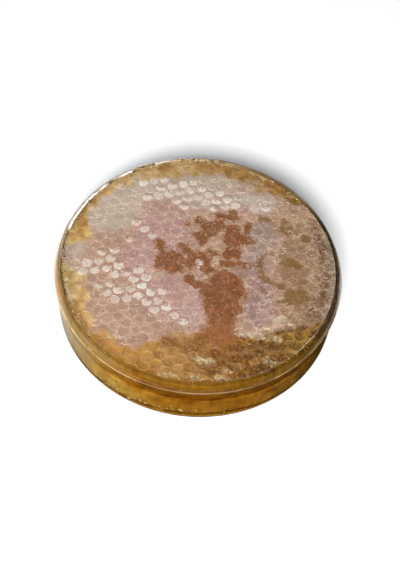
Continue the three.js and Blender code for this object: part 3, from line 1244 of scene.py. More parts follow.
@dataclass
class CombPattern:
    """Where the comb is dry, wet, soaked, open or capped, in plan."""

    # Radius of the capped field by direction in degrees. Past it, cells stand open in honey.
    field_edge: Mapping[int, float] = field(default_factory=lambda: {
        0: 66, 30: 64, 40: 62, 47: 55, 55: 54, 62: 54, 76: 53.5, 90: 53, 102: 52.5, 112: 52, 122: 54,
        132: 57, 145: 57.5, 153: 57, 160: 55, 168: 50, 172: 51, 177: 60, 183: 64, 188: 58, 195: 51, 208: 52,
        221: 56, 230: 54.7, 237: 53.3, 245: 50, 251: 43, 257: 38.5, 268: 37, 280: 35.5, 287: 41, 292: 39,
        298: 39, 304: 43, 308: 46.5, 314: 46, 321: 47, 329: 53, 336: 60, 343: 66,
    })
    soaked: Sequence[Mark] = (
        Oval(12, -8.3, 7, 5.5), Oval(11.5, -14.5, 9.3, 5.5), Oval(11.5, -21, 8, 7),
        Oval(11.8, -28.5, 5.6, 8), Oval(11, -35.5, 7, 4.5),
        Streak([(-3.6, -8.8), (-1.5, -11), (5, -12)], 2.0), Oval(-12.5, 1.8, 6.6, 3.6),
        Oval(-11, -2.2, 4.8, 3.6, 10), Streak([(-18.6, 9.2), (-16, 4)], 1.7), Oval(-17.3, -0.5, 2.4, 4),
        Streak([(-8, 9), (-6, 6), (-2.5, 4)], 1.7), Oval(0.5, 3.5, 4.2, 2.4, -20), Oval(3.2, 0.5, 1.8, 3),
        Oval(4.6, -2.6, 3.4, 1.7), Oval(-3.8, 0.2, 2.2, 3.4), Oval(5.2, 6.8, 2.3, 1.7),
        Streak([(10.5, 1.6), (19, 1.4)], 1.4), Oval(12.2, 6.6, 2.4, 3.4), Oval(15.8, 7.6, 1.8, 3.2),
        Oval(0.6, 13.4, 1.9, 3.2), Oval(-2, 15.8, 1.7, 1.9), Oval(14.2, 15.6, 5, 4.8),
        Oval(19.4, 15.2, 3.2, 2.2), Oval(13, 21, 3.6, 2.4), Streak([(20.6, 24), (19.8, 19.5)], 1.2),
        Oval(3.6, 20.8, 4.6, 3.2), Oval(-1.5, 23.6, 2.2, 2), Oval(7.4, 22.6, 3, 2.6), Oval(4, 17, 3, 1.8),
        Oval(12, 27.4, 3.6, 1.6, 12), Oval(13.4, 30.4, 1.9, 1.3), Oval(6.8, 27.6, 1.9, 1.3),
        Oval(-6.6, 21.2, 1.5, 0.9), Oval(-7.4, 8.8, 2.0, 1.6),
    )
    olive: Sequence[Mark] = (
        Streak([(27.2, 6), (26.2, 1), (28, -4), (32.4, -6.4), (36.4, -8.4)], 1.6), Oval(39.5, 5.2, 4.2, 3),
        Oval(36.4, 8, 2, 1.6), Oval(42.6, 3.6, 2.2, 2), Oval(43.4, -13, 6.2, 4.6, 8),
        Oval(28.4, -11.6, 2.2, 1.3), Oval(28, 28.2, 3.4, 1.8), Oval(36.8, 27.4, 2.4, 2.2),
        Oval(38, 23.6, 3.4, 2.8), Oval(30, 8.8, 2, 1), Oval(46, 19.8, 2.6, 1.8),
        Oval(37.2, -16.2, 2.2, 1.2), Oval(44.4, -4.8, 2.4, 1.6),
    )
    dry_rows: Sequence[Mark] = (
        Streak([(-31, 42), (-20, 40.5), (-8, 38), (4, 37)], 6.3), Streak([(9, 40), (13, 35)], 3.0),
        Streak([(26, 33), (31, 36)], 2.4),
    )
    dry_spots: Sequence[Point] = (
        (-42.1, 2.3), (-36.3, 4.1), (-32.8, 11.9), (-29.0, 11.8), (-31.7, 8.1), (-37.7, -0.5),
        (-43.6, -2.9), (-49.6, -4.1), (-33.8, -3.9), (-38.8, -6.1), (-30.7, -7.3), (-26.2, -5.2),
        (-35.3, -9.5), (-27.7, -10.5), (-22.7, -9.1), (-44.4, -7.9), (-50.0, -10.4), (-37.0, -14.5),
        (-41.1, -16.6), (-33.6, -17.6), (-29.2, -16.3), (-38.5, -19.5), (-35.0, -23.8), (-23.8, -14.6),
        (-15.9, -15.8), (-20.4, -17.9), (-24.9, -20.0), (-28.6, -22.0), (-16.7, -20.9), (-21.1, -23.2),
        (-13.1, -24.1), (-8.8, -27.4), (-5.1, -30.8), (-36.2, 16.1), (-27.8, 17.1), (-30.5, 21.7),
        (-7.5, 29.0), (11.8, 35.2), (-3.2, -32.4), (-6.5, -29.2), (-18.7, -26.5), (-30.6, 43.0),
        (-27.9, 39.7), (-24.1, 43.3), (-19.5, 43.8), (-14.8, 43.8), (-10.0, 47.5), (-6.1, 45.5),
        (-29.4, 35.9), (-24.8, 35.8), (-18.2, 39.9), (-12.6, 40.1), (-5.6, 38.9), (-14.1, 36.0),
        (-9.2, 38.4), (-9.7, 32.9), (-6.2, 34.5), (-35.9, 16.1), (-17.0, 37.1), (-0.7, 35.8), (3.8, 37.0),
        (3.2, 40.0), (-11.6, 33.3), (21.2, 32.9), (30.3, 34.3), (26.0, 39.2), (-3.5, 42.2), (-22.5, 12.5),
        (-25.2, 24.0),
    )
    flecks: Sequence[Mark] = (
        Oval(5, -48.5, 5, 1.8), Oval(32, -46.2, 3.4, 1.5, -15), Oval(-9, -56.8, 4, 1.3),
        Oval(4, -56.8, 4.5, 1.3), Oval(14.5, -56.6, 3, 1.6), Oval(15, -52.4, 3, 1.3),
        Oval(-32.6, -41.2, 2.8, 1.1), Oval(37, -26, 5.5, 3, -10),
        Streak([(34, -29.5), (28, -32.5), (21, -34.5)], 1.1), Oval(28, -35.4, 4, 1.3),
        Oval(34, -34.8, 3, 1.5, -20), Oval(41, -27.5, 3, 1.5), Oval(30, -32, 3, 1.5), Oval(-54, -8, 3, 2),
        Oval(-56, -16, 1.6, 4, 15), Oval(-52, -24, 2, 4, 20), Oval(24, 54, 4, 1.1, -20),
        Oval(-11, 54.5, 4, 1.5, 12), Oval(-41, -34.5, 2.2, 1.2),
    )
    cream: Sequence[Mark] = (
        Oval(-41, 27, 16, 13, 40), Oval(-54, 3, 4, 7), Oval(-30, 41, 17, 9, 25), Oval(2, 48, 20, 4),
    )
    net: Sequence[Mark] = (
        Oval(47, 3, 12.5, 30), Oval(41, 27, 9, 10), Oval(43, -20, 8, 10),
    )
    empty: Sequence[Mark] = (
        Oval(39.5, -33.5, 9, 5, -5), Oval(48, -31, 3, 4),
    )

    dry_reach: float = 2.2
    dry_share: float = 0.85
    # Colours of the honey-filled cells, by direction in degrees: paler towards the left and darker towards
    # the front right, partly the honey's colour and partly painted light and shade.
    golden_tones: Mapping[int, Tone] = field(default_factory=lambda: {
        60: tone(172, 134, 58), 90: tone(206, 164, 100), 125: tone(252, 216, 168), 160: tone(250, 200, 116),
        190: tone(255, 226, 174), 215: tone(255, 210, 148), 235: tone(214, 154, 80), 250: tone(210, 158, 86),
        262: tone(207, 158, 97), 283: tone(134, 76, 20), 300: tone(116, 64, 0), 322: tone(98, 60, 0),
        345: tone(112, 76, 12),
    })

    def edge_at(self, plan: np.ndarray) -> np.ndarray:
        """Radius of the capped field in each point's direction."""
        known = np.array(sorted(self.field_edge.items()), float)
        return np.interp(bearing(plan), known[:, 0], known[:, 1], period=360)

    def openness(self, plan: np.ndarray) -> np.ndarray:
        """How far points are outside the capped field, in millimetres."""
        wobble = 1.3 * waves(plan, 9, 11) + 0.6 * waves(plan, 4, 12)
        return np.hypot(plan[:, 0], plan[:, 1]) - self.edge_at(plan) + wobble

    def cell(self, plan: np.ndarray, dice: np.random.Generator) -> Capping:
        """Picks what one cell's mouth looks like.

        Args:
            plan: The cell's middle, as one row.
            dice: Where random draws come from.

        Returns:
            The kind of capping.
        """
        chance = dice.uniform()
        if depth_in(self.empty, plan)[0] > 0:
            return Capping.EMPTY
        if self.openness(plan)[0] > 0:
            return Capping.FULL
        nearest = np.hypot(*(np.array(self.dry_spots) - plan).T).min()
        if nearest < self.dry_reach or (depth_in(self.dry_rows, plan)[0] > 0 and chance < self.dry_share):
            return Capping.DRY
        zones = ((self.soaked, Capping.SOAKED), (self.net, Capping.NET), (self.cream, Capping.CREAM))
        return next((kind for marks, kind in zones if depth_in(marks, plan)[0] > 0), Capping.WET)

    def washes(self) -> list[Wash]:
        """The soft colours of the comb's upper face.

        Returns:
            The washes, in the order they are laid.
        """
        return [
            Wash(tone(207, 163, 139), [Oval(0, 0, 90, 90)]),
            Wash(tone(224, 202, 183), self.cream, 8.0),
            Wash(tone(212, 165, 158), [
                Oval(-15, 13, 13, 19, 20), Oval(-9, -18, 15, 14), Oval(1, -26, 7, 9), Oval(-26, -2, 9, 12),
                Oval(5, 33, 12, 4), Oval(-14, 27, 9, 6),
            ], 7.0),
            Wash(tone(218, 182, 172), [Oval(-5, -28, 8, 5)], 4.0, 0.7),
            Wash(tone(188, 148, 143), [Oval(27, -18, 7, 13), Oval(23, 3, 7, 8)], 5.0),
            Wash(tone(162, 118, 92), [Oval(24.8, 3.4, 2.6, 2.0)], 2.0, 0.8),
            Wash(tone(178, 152, 141), [Oval(26, 18, 7, 9)], 5.0),
            Wash(tone(226, 204, 192), self.dry_rows, 4.0, 0.8),
            Wash(tone(212, 190, 176), [Oval(-4, 44, 14, 5)], 4.0, 0.6),
            Wash(tone(222, 202, 190), [Oval(19, 39, 10, 4), Oval(28, 38, 5, 5)], 3.0),
            Wash(tone(176, 134, 100), self.net, 6.0),
            Wash(tone(212, 168, 136), [Oval(38, 30, 7, 5.5)], 5.0),
            Wash(tone(212, 172, 108), [Oval(-50.5, 8.5, 4, 3.5)], 3.0, 0.7),
            # near the right rim: a dark brown band, partly the comb's colour and partly painted shade, and
            # outside it a grey streak, a painted reflection of the lid's side wall
            Wash(tone(126, 84, 46), [
                Streak([(51, 25), (55.5, 10), (56.2, 0), (55, -10), (51, -22)], 3.0),
            ], 2.4, 0.9),
            Wash(tone(172, 150, 132), [Streak([
                (52.6, 27.5), (56.2, 18.2), (58.3, 9), (59, 0), (58.2, -10), (55.4, -19.2), (52.2, -26.4),
            ], 0.9)], 0.8, 0.9),
        ]

    def honeyed(self) -> list[Wash]:
        """The soft colours laid over the honey-filled cells.

        Returns:
            The washes, in the order they are laid.
        """
        return [
            Wash(tone(146, 90, 42), [Oval(8, -42, 11, 4.5), Oval(-7, -41, 5, 3)], 4.0, 0.9),
            Wash(tone(186, 128, 56), [
                Oval(-20, 54, 4, 2.5), Oval(4, 57, 8, 1.6), Oval(16, 53.5, 6, 2, -15),
                Oval(31, 48.5, 7, 3, -38), Streak([(-52, -28), (-46, -38), (-34, -49)], 2.2),
                Oval(-20, -55, 8, 2, 15),
            ], 3.0, 0.8),
            Wash(tone(140, 104, 34), [Oval(38, 40, 4, 5), Oval(44, -36, 8, 6)], 4.0, 0.8),
            Wash(tone(206, 156, 72), [
                Streak([(-51.5, 29), (-55, 20), (-53, 10), (-51.5, 6)], 2.2),
            ], 2.0, 0.9),
            Wash(tone(214, 182, 104), [Oval(-56, -17, 4, 8, 15)], 4.0, 0.8),
        ]

    def golden(self, plan: np.ndarray) -> np.ndarray:
        """Colours of the honey-filled cells round the capped field, by direction."""
        places, tones = zip(*sorted(self.golden_tones.items()))
        return np.stack([np.interp(bearing(plan), places, channel, period=360) for channel in zip(*tones)], 1)


@dataclass(frozen=True)
class CombTones:
    """Colours of the slab's upright side, of what shades its honey, and of its curls."""

    side: Tone = tone(187, 132, 71)
    side_upper: Tone = tone(159, 100, 42)
    left: Tone = tone(228, 190, 134)
    left_upper: Tone = tone(197, 129, 57)
    front_rim: Tone = tone(208, 162, 98)
    far_left: Tone = tone(226, 200, 164)
    pinkish: Tone = tone(206, 158, 116)
    curl: Tone = tone(240, 222, 204)
    curl_golden: Tone = tone(190, 138, 58)
    curl_soaked: Tone = tone(176, 118, 80)


@dataclass
class CombSlab:
    """The slab of comb: an upper and a lower layer of cells that meet at the midrib."""

    pitch: float = 5.1
    row_angle: float = 19.0
    first: Point = (2.5, 3.8)
    reach: float = 62.0
    rim_radius: float = 60.5
    neck_radius: float = 59.3
    foot_radius: float = 60.4
    rim_top: float = 25.7
    midrib: float = 13.2
    under: float = 2.6
    sway: float = 0.8
    sway_length: float = 41.0
    span: int = 27
    corner_shake: float = 0.42
    unevenness: float = 0.3
    weld: float = 0.002
    pattern: CombPattern = field(default_factory=CombPattern)
    tones: CombTones = field(default_factory=CombTones)
    wax: CombWax = field(default_factory=CombWax)

    def bent(self, plan: np.ndarray) -> np.ndarray:
        """Bends straight rows slightly, as bees build them.

        Args:
            plan: Points in plan, in millimetres.

        Returns:
            The moved points.
        """
        x, y = plan[:, 0], plan[:, 1]
        across = self.sway * np.sin(y / self.sway_length + 0.6)
        along = self.sway * np.sin((x - y) / self.sway_length)
        return np.stack([x + across, y + along], 1)

    def lattice(self, shift: Point) -> tuple[np.ndarray, list[tuple[int, int, int]]]:
        """The cells' middles, and the triangles between neighbours.

        Args:
            shift: How far the whole lattice is moved in plan.

        Returns:
            Points in plan, and triangles of point numbers, each touching a kept cell.
        """
        angle = math.radians(self.row_angle)
        along = self.pitch * np.array([math.cos(angle), math.sin(angle)])
        across = self.pitch * np.array([math.cos(angle + math.pi / 3), math.sin(angle + math.pi / 3)])
        start = np.array(self.first) + shift
        span = range(-self.span, self.span + 1)
        spots = {(i, j): start + i * along + j * across for i in span for j in span}
        kept = {key for key, spot in spots.items() if np.hypot(*spot) <= self.reach}
        corners = [((0, 0), (1, 0), (0, 1)), ((1, 0), (1, 1), (0, 1))]
        triples = [[(i + a, j + b) for a, b in three] for i in span for j in span for three in corners]
        triples = [three for three in triples if kept.intersection(three)]
        used = sorted({key for three in triples for key in three})
        number = {key: n for n, key in enumerate(used)}
        plan = self.bent(np.array([spots[key] for key in used]))
        return plan, [tuple(number[key] for key in three) for three in triples]

    def base_mesh(self, name: str, shift: Point, kinds: Sequence[Capping] | None) -> bpy.types.Mesh:
        """The net of cell middles that a layer grows from.

        Args:
            name: The mesh's name.
            shift: How far the lattice is moved in plan.
            kinds: One kind for each point, or None where all are plain cappings.

        Returns:
            The mesh, with each cell's sizes as attributes.
        """
        plan, triangles = self.lattice(shift)
        dice = np.random.default_rng(23)
        if kinds is None:
            kinds = [Capping.CREAM] * len(plan)
        made = bpy.data.meshes.new(name)
        made.from_pydata([(x * MM, y * MM, 0) for x, y in plan], [], triangles)
        ridges, floors, insides, tilts, edge_lights = np.array([astuple(kind.value) for kind in kinds]).T
        full, dry = (np.array([float(kind is one) for kind in kinds]) for one in (Capping.FULL, Capping.DRY))
        floors = floors * dice.normal(1.0, 0.3, len(plan)).clip(0.4, 1.7)
        away = self.pattern.openness(plan).clip(0, 12)
        # honey-filled cells are the lower the further they are from the capped field
        floors -= full * (0.08 * dice.uniform(0.0, 1.0, len(plan)) ** 2 + 0.02 * away)
        keep(made, "ridge", ridges * MM)
        keep(made, "floor", floors * MM)
        keep(made, "inside", insides * dice.uniform(0.93, 1.04, len(plan)))
        keep(made, "tilt", tilts * MM * dice.uniform(0.5, 1.5, len(plan)))
        keep(made, "edge_light", edge_lights)
        keep(made, "dry", dry * dice.uniform(0.55, 1.0, len(plan)))
        keep(made, "cell_tone", dice.uniform(0, 1, len(plan)))
        return made

    def layer(
        self, name: str, base: bpy.types.Mesh, depth: float, rim: float, body: float,
        material: bpy.types.Material,
    ) -> bpy.types.Object:
        """Grows one layer of cells, standing on z = -depth with its rims at z = 0.

        Args:
            name: The new object's name.
            base: The net of cell middles.
            depth: How tall the layer is.
            rim: Radius that the layer spreads to at its rims.
            body: Radius that it spreads to below them.
            material: The wax.

        Returns:
            The layer as a closed mesh.
        """
        tree = Growth(name, {
            "Depth": depth * MM, "Half cell": self.pitch / 2 * MM, "Corner shake": self.corner_shake * MM,
            "Unevenness": self.unevenness * MM, "Rim radius": rim * MM, "Body radius": body * MM,
            "Weld": self.weld * MM, "Seed": 4, "Smoothing": 1,
        })
        given = tree.given
        cells = tree.add("GeometryNodeDualMesh", {"Mesh": given["Geometry"]}).outputs[0]
        cells = tree.store(cells, "middle", tree.position(), "FACE", "FLOAT_VECTOR")
        shake = given["Corner shake"]
        less = tree.times(shake, -1.0)
        most = tree.vector(shake, shake)
        jitter = tree.random(tree.vector(less, less), most, given["Seed"], "FLOAT_VECTOR")
        cells = self.cut_round(tree, tree.move(cells, jitter), given["Rim radius"])
        under = self.cut_round(tree, cells, given["Body radius"])
        under = tree.move(under, tree.vector(z=tree.times(given["Depth"], -1.0)))
        under = tree.add("GeometryNodeFlipFaces", {"Mesh": under}).outputs[0]
        top = tree.move(cells, tree.vector(z=tree.named("ridge")))
        top = tree.store(top, "inset", 0.0, "POINT")
        walled = self.outer_wall(tree, self.cell_mouths(tree, top))
        both = tree.add("GeometryNodeJoinGeometry")
        for part in (under, walled):
            tree.tree.links.new(part, both.inputs[0])
        sockets = {"Geometry": both.outputs[0], "Distance": given["Weld"]}
        whole = tree.add("GeometryNodeMergeByDistance", sockets).outputs[0]
        sockets = {"Mesh": whole, "Level": given["Smoothing"]}
        whole = tree.add("GeometryNodeSubdivisionSurface", sockets).outputs[0]
        lumps = tree.add("ShaderNodeTexNoise", {"Scale": 420.0, "Detail": 2.0}).outputs["Fac"]
        lift = tree.vector(z=tree.swing(lumps, given["Unevenness"]))
        return tree.grow(name, tree.move(whole, lift), base, material)

    def cut_round(self, tree: Growth, cells: Any, radius: Any, where: Any = True) -> Any:
        """Pulls in what lies outside the cutter's circle, so the cells at the edge are cut short.

        Args:
            tree: The tree being wired.
            cells: The cells.
            radius: Radius of the circle.
            where: Which points may be pulled in.

        Returns:
            The cells inside a slightly wavy circle.
        """
        x, y, z = tree.parts(tree.position())
        plan = tree.vector(x, y)
        out = tree.add("ShaderNodeVectorMath", {0: plan}, operation="LENGTH").outputs["Value"]
        heading = tree.add("ShaderNodeVectorMath", {0: plan}, operation="NORMALIZE").outputs["Vector"]
        sockets = {"Vector": heading, "Scale": 9.0, "Detail": 3.0}
        ripple = tree.add("ShaderNodeTexNoise", sockets).outputs["Fac"]
        wave = tree.swing(ripple, 1.6 * MM, 0.65)
        # the slab is cut a little short at the very front
        short = tree.step(tree.parts(heading)[1], -0.78, -0.97, 0.0, -1.1 * MM)
        share = tree.math("MINIMUM", tree.math("DIVIDE", tree.plus(radius, tree.plus(wave, short)), out), 1.0)
        return tree.put(cells, tree.vector(tree.times(x, share), tree.times(y, share), z), where)

    def cell_mouths(self, tree: Growth, cells: Any) -> Any:
        """Insets each cell three times, to its wall, its floor's edge and its floor's middle.

        Args:
            tree: The tree being wired.
            cells: The flat cells.

        Returns:
            The cells with their mouths shaped.
        """
        along = tree.parts(tree.position())[1]
        middle = tree.parts(tree.named("middle", "FLOAT_VECTOR"))[1]
        toward_front = tree.math("DIVIDE", tree.minus(middle, along), tree.given["Half cell"])
        slope = tree.times(toward_front, tree.named("tilt"))
        sink = tree.minus(tree.named("floor"), tree.named("ridge"))
        chosen: Any = True
        # share of the last ring's width, share of the way down to the floor, the ring's mark, and its tilt
        rings = (tree.named("inside"), 0.35, 0.3, False), (0.92, 0.6, 0.55, True), (0.6, 0.05, 1.0, False)
        for width, way, mark, tilted in rings:
            pushed = tree.add("GeometryNodeExtrudeMesh", {
                "Mesh": cells, "Selection": chosen, "Offset Scale": 0.0, "Individual": True,
            }, mode="FACES")
            chosen = pushed.outputs["Top"]
            cells = tree.add("GeometryNodeScaleElements", {
                "Geometry": pushed.outputs["Mesh"], "Selection": chosen, "Scale": width,
            }, domain="FACE").outputs[0]
            drop = tree.times(sink, way)
            if tilted:
                drop = tree.plus(drop, slope)
            cells = tree.move(cells, tree.vector(z=drop), chosen)
            cells = tree.store(cells, "inset", mark, "POINT", where=chosen)
        return cells

    def outer_wall(self, tree: Growth, cells: Any) -> Any:
        """Draws the slab's outer edge down to its foot, with a ring near each end to keep the corners.

        Args:
            tree: The tree being wired.
            cells: The shaped cells.

        Returns:
            The cells with a wall round them, open underneath.
        """
        sides = tree.add("GeometryNodeInputMeshEdgeNeighbors").outputs[0]
        alone = tree.add("FunctionNodeCompare", {2: sides, 3: 1}, data_type="INT", operation="EQUAL")
        edge = alone.outputs[0]
        # share of the depth, and whether the ring is drawn in to the slab's body
        for share, drawn_in in ((0.05, False), (0.02, True), (0.02, False), (0.85, False), (0.06, False)):
            pushed = tree.add("GeometryNodeExtrudeMesh", {
                "Mesh": cells, "Selection": edge, "Offset": tree.vector(z=-1.0),
                "Offset Scale": tree.times(tree.given["Depth"], share),
            }, mode="EDGES")
            cells = pushed.outputs["Mesh"]
            edge = pushed.outputs["Top"]
            if drawn_in:
                cells = self.cut_round(tree, cells, tree.given["Body radius"], edge)
        x, y, _ = tree.parts(tree.position())
        return tree.put(cells, tree.vector(x, y, tree.times(tree.given["Depth"], -1.0)), edge)

    def paint(self, mesh: bpy.types.Mesh) -> None:
        """Lays the washes and the soaked and spotted patches on a finished layer.

        Args:
            mesh: The layer, in place.
        """
        points = points_of(mesh)
        plan = points[:, :2]
        pattern = self.pattern
        shaken = plan + 0.8 * np.stack([waves(plan, 7, 31), waves(plan, 7, 32)], 1)
        colour = washed(np.zeros((len(points), 3)), pattern.washes(), shaken)
        golden = smooth(pattern.openness(plan), -1.6, 0.6)
        amber = washed(pattern.golden(shaken), pattern.honeyed(), shaken)
        # here and there the honey is deeper, or pinkish
        amber *= 1 - np.array((0.22, 0.29, 0.46)) * smooth(waves(plan, 5, 41), -0.1, 1.0)[:, None]
        amber = blend(amber, self.tones.pinkish, 0.45 * smooth(waves(plan, 5, 42), 0.2, 1.1))
        side = smooth(self.rim_top - 1.2 - points[:, 2], 0, 1.5)
        colour = blend(blend(colour, amber, golden), self.side_colour(points), side)
        keep(mesh, "wash", colour)
        by_cell = 0.8 * plan + 0.2 * self.cell_middles(mesh, plan)
        # no patch reaches down the slab's side
        for name, marks in (("soak", pattern.soaked), ("olive", pattern.olive), ("fleck", pattern.flecks)):
            keep(mesh, name, depth_in(marks, by_cell) - 40 * side)
        keep(mesh, "gold", np.maximum(golden, side))
        self.paint_curls(mesh, plan, colour, golden)
        self.lean(mesh, points)

    def side_colour(self, points: np.ndarray) -> np.ndarray:
        """Colours of the slab's upright side, by height and direction, paler at the left and darker at the
        right, partly as painted light and shade.

        Args:
            points: Places on the slab, in millimetres.

        Returns:
            One colour for each point.
        """
        angle = np.arctan2(points[:, 1], points[:, 0])
        height = points[:, 2]
        rightward = np.cos(angle)
        around = angle * 58
        unrolled = np.stack([around, height], 1)
        tones = self.tones
        upper = smooth(height + 2 * waves(unrolled, 14, 51), 10, 13)
        colour = blend(np.array(tones.side), tones.side_upper, upper)
        left = blend(np.array(tones.left), tones.left_upper, upper)
        # paler towards the left and far left, partly the wax's colour and partly painted light
        colour = blend(colour, left, smooth(-rightward, 0.12, 0.42))
        front = smooth(-np.sin(angle), 0.2, 0.7) * smooth(height, 21, 23)
        colour = blend(colour, tones.front_rim, front)
        colour = blend(colour, tones.far_left, smooth(-rightward, 0.3, 0.9))
        # darker towards the right, partly the wax's colour and partly painted shade
        right_shade = smooth(rightward, 0.15, 0.8) + 1.3 * smooth(rightward, 0.8, 0.98)
        # upright streaks, about one for each row of cells
        streaks = np.cos(around / 4.4 * 2 * np.pi + 1.5 * waves(unrolled, 16, 52))
        streaks *= smooth(waves(unrolled, 9, 53), -0.4, 0.8)
        coarse = 0.17 * waves(unrolled * (1.0, 1.8), 9, 54)
        mottle = 1 + coarse + 0.16 * waves(unrolled, 3.5, 55) + 0.2 * streaks
        return colour * ((1 - 0.3 * right_shade) * mottle.clip(0.6, 1.3))[:, None]

    def paint_curls(
        self, mesh: bpy.types.Mesh, plan: np.ndarray, ground: np.ndarray, golden: np.ndarray,
    ) -> None:
        """Marks how thickly curls of wax lie on the comb, and their colour.

        Args:
            mesh: The slab.
            plan: Its points in plan, in millimetres.
            ground: The colour of each point.
            golden: How far each point is in the honey-filled cells, from 0 to 1.
        """
        tint = blend(ground, self.tones.curl, 0.38 - 0.3 * golden)
        tint = blend(tint, self.tones.curl_golden, 0.3 * golden) * 0.92
        soaked = smooth(depth_in(self.pattern.soaked, plan), -0.6, 0.6)
        tint = blend(tint, self.tones.curl_soaked, soaked)
        netted = smooth(depth_in(self.pattern.net, plan), -3, 3)
        plain = smooth(depth_in((*self.pattern.cream, *self.pattern.dry_rows), plan), -2, 2)
        spotted = smooth(depth_in(self.pattern.olive, plan), -1.5, 0.5)
        crowd = 0.25 + 0.06 * golden - 0.1 * netted - 0.08 * soaked
        crowd = crowd * (1 - 0.6 * plain) * (1 - 0.85 * spotted)
        keep(mesh, "curl", tint)
        keep(mesh, "crowd", crowd / MM ** 2)

    def corner_owners(self, mesh: bpy.types.Mesh) -> tuple[np.ndarray, np.ndarray]:
        """Which point and which cell each face corner belongs to.

        Args:
            mesh: The layer, with each face's cell middle as an attribute.

        Returns:
            Each corner's point number, and its cell's middle in plan, in millimetres.
        """
        faces = np.empty(len(mesh.polygons), np.int32)
        mesh.polygons.foreach_get("loop_total", faces)
        corners = np.empty(len(mesh.loops), np.int32)
        mesh.loops.foreach_get("vertex_index", corners)
        middles = np.empty(len(mesh.polygons) * 3, np.float32)
        mesh.attributes["middle"].data.foreach_get("vector", middles)
        return corners, np.repeat(middles.reshape(-1, 3)[:, :2] / MM, faces, axis=0)

    def cell_middles(self, mesh: bpy.types.Mesh, plan: np.ndarray) -> np.ndarray:
        """The middle of the cell that each point belongs to.

        Args:
            mesh: The layer, with each face's cell middle as an attribute.
            plan: Points in plan, in millimetres.

        Returns:
            One middle for each point; a point that cells share gets one of theirs.
        """
        corners, owners = self.corner_owners(mesh)
        middles = plan.copy()
        middles[corners] = owners
        return middles

    def lean(self, mesh: bpy.types.Mesh, points: np.ndarray) -> None:
        """Marks which side of its cell each corner is on, from -1 at the front to 1 at the back.

        Args:
            mesh: The layer, with each face's cell middle as an attribute.
            points: Its vertices, in millimetres.
        """
        corners, owners = self.corner_owners(mesh)
        keep(mesh, "lean", (points[corners, 1] - owners[:, 1]) / (self.pitch / 2), "CORNER")

    def build(self) -> bpy.types.Object:
        """Makes both layers, joins and paints them.

        Returns:
            The slab.
        """
        material = self.wax.material()
        dice = np.random.default_rng(8)
        plan, _ = self.lattice((0.0, 0.0))
        kinds = [self.pattern.cell(spot[None, :], dice) for spot in plan]
        upper_net = self.base_mesh("upper_net", (0.0, 0.0), kinds)
        depth = self.rim_top - self.midrib
        upper = self.layer("comb_upper", upper_net, depth, self.rim_radius, self.neck_radius, material)
        upper.data.transform(Matrix.Translation((0, 0, self.rim_top * MM)))
        angle = math.radians(self.row_angle + 30)
        half = self.pitch / math.sqrt(3)
        shift = (half * math.cos(angle), half * math.sin(angle))
        lower_net = self.base_mesh("lower_net", shift, None)
        depth = self.midrib - self.under
        lower = self.layer("comb_lower", lower_net, depth, self.foot_radius, self.foot_radius, material)
        lower.data.transform(Matrix.Translation((0, 0, self.under * MM)) @ Matrix.Scale(-1, 4, (0, 0, 1)))
        lower.data.flip_normals()
        slab = joined("comb_slab", [upper, lower])
        self.paint(slab.data)
        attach(slab, BODY)
        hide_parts("comb")
        return slab


def joined(name: str, parts: Sequence[bpy.types.Object]) -> bpy.types.Object:
    """Joins objects into the first one.

    Args:
        name: The joined object's name.
        parts: Mesh objects at the origin.

    Returns:
        The joined object.
    """
    with bpy.context.temp_override(active_object=parts[0], selected_editable_objects=list(parts)):
        bpy.ops.object.join()
    parts[0].name = name
    parts[0].data.name = name
    return parts[0]


# ------------------------------------------------------------------------------------- the honey


@dataclass
class HoneyFill:
    """The honey that fills the case, reaches just into its walls, and climbs to the lid round the edge."""

    case: Case
    bite: float = 0.7
    honey: Honey = field(default_factory=Honey)

    def build(self) -> bpy.types.Object:
        """Makes the honey.

        Returns:
            The honey's piece.
        """
        case = self.case
        wall = case.wall - self.bite
        under = case.flange_top - case.flange_thick
        ceiling = case.top - wall
        profile = Turned([
            Bend(0, wall, matt=1.0),
            Bend(case.foot - wall, wall, case.foot_round - wall, wet=True),
            Bend(case.mouth - wall, case.shoulder - 2 * case.wall + self.bite, case.soft, wet=True),
            Bend(case.inner_wall(under) + self.bite, under - 0.4, case.soft, wet=True),
            Bend(case.lid_shoulder - wall, ceiling, case.lid_round - wall, wet=True),
            Bend(case.climb, ceiling, 0.2, frost=1.0),
            Bend(case.climb - 0.6, case.level, 0.5),
            Bend(0, case.level),
        ])
        mesh = profile.mesh("honey_fill")
        mesh.materials.append(self.honey.material())
        made = placed("honey_fill", mesh)
        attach(made, BODY)
        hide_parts("honey")
        return made


# ------------------------------------------------------------------------------------- loose bits


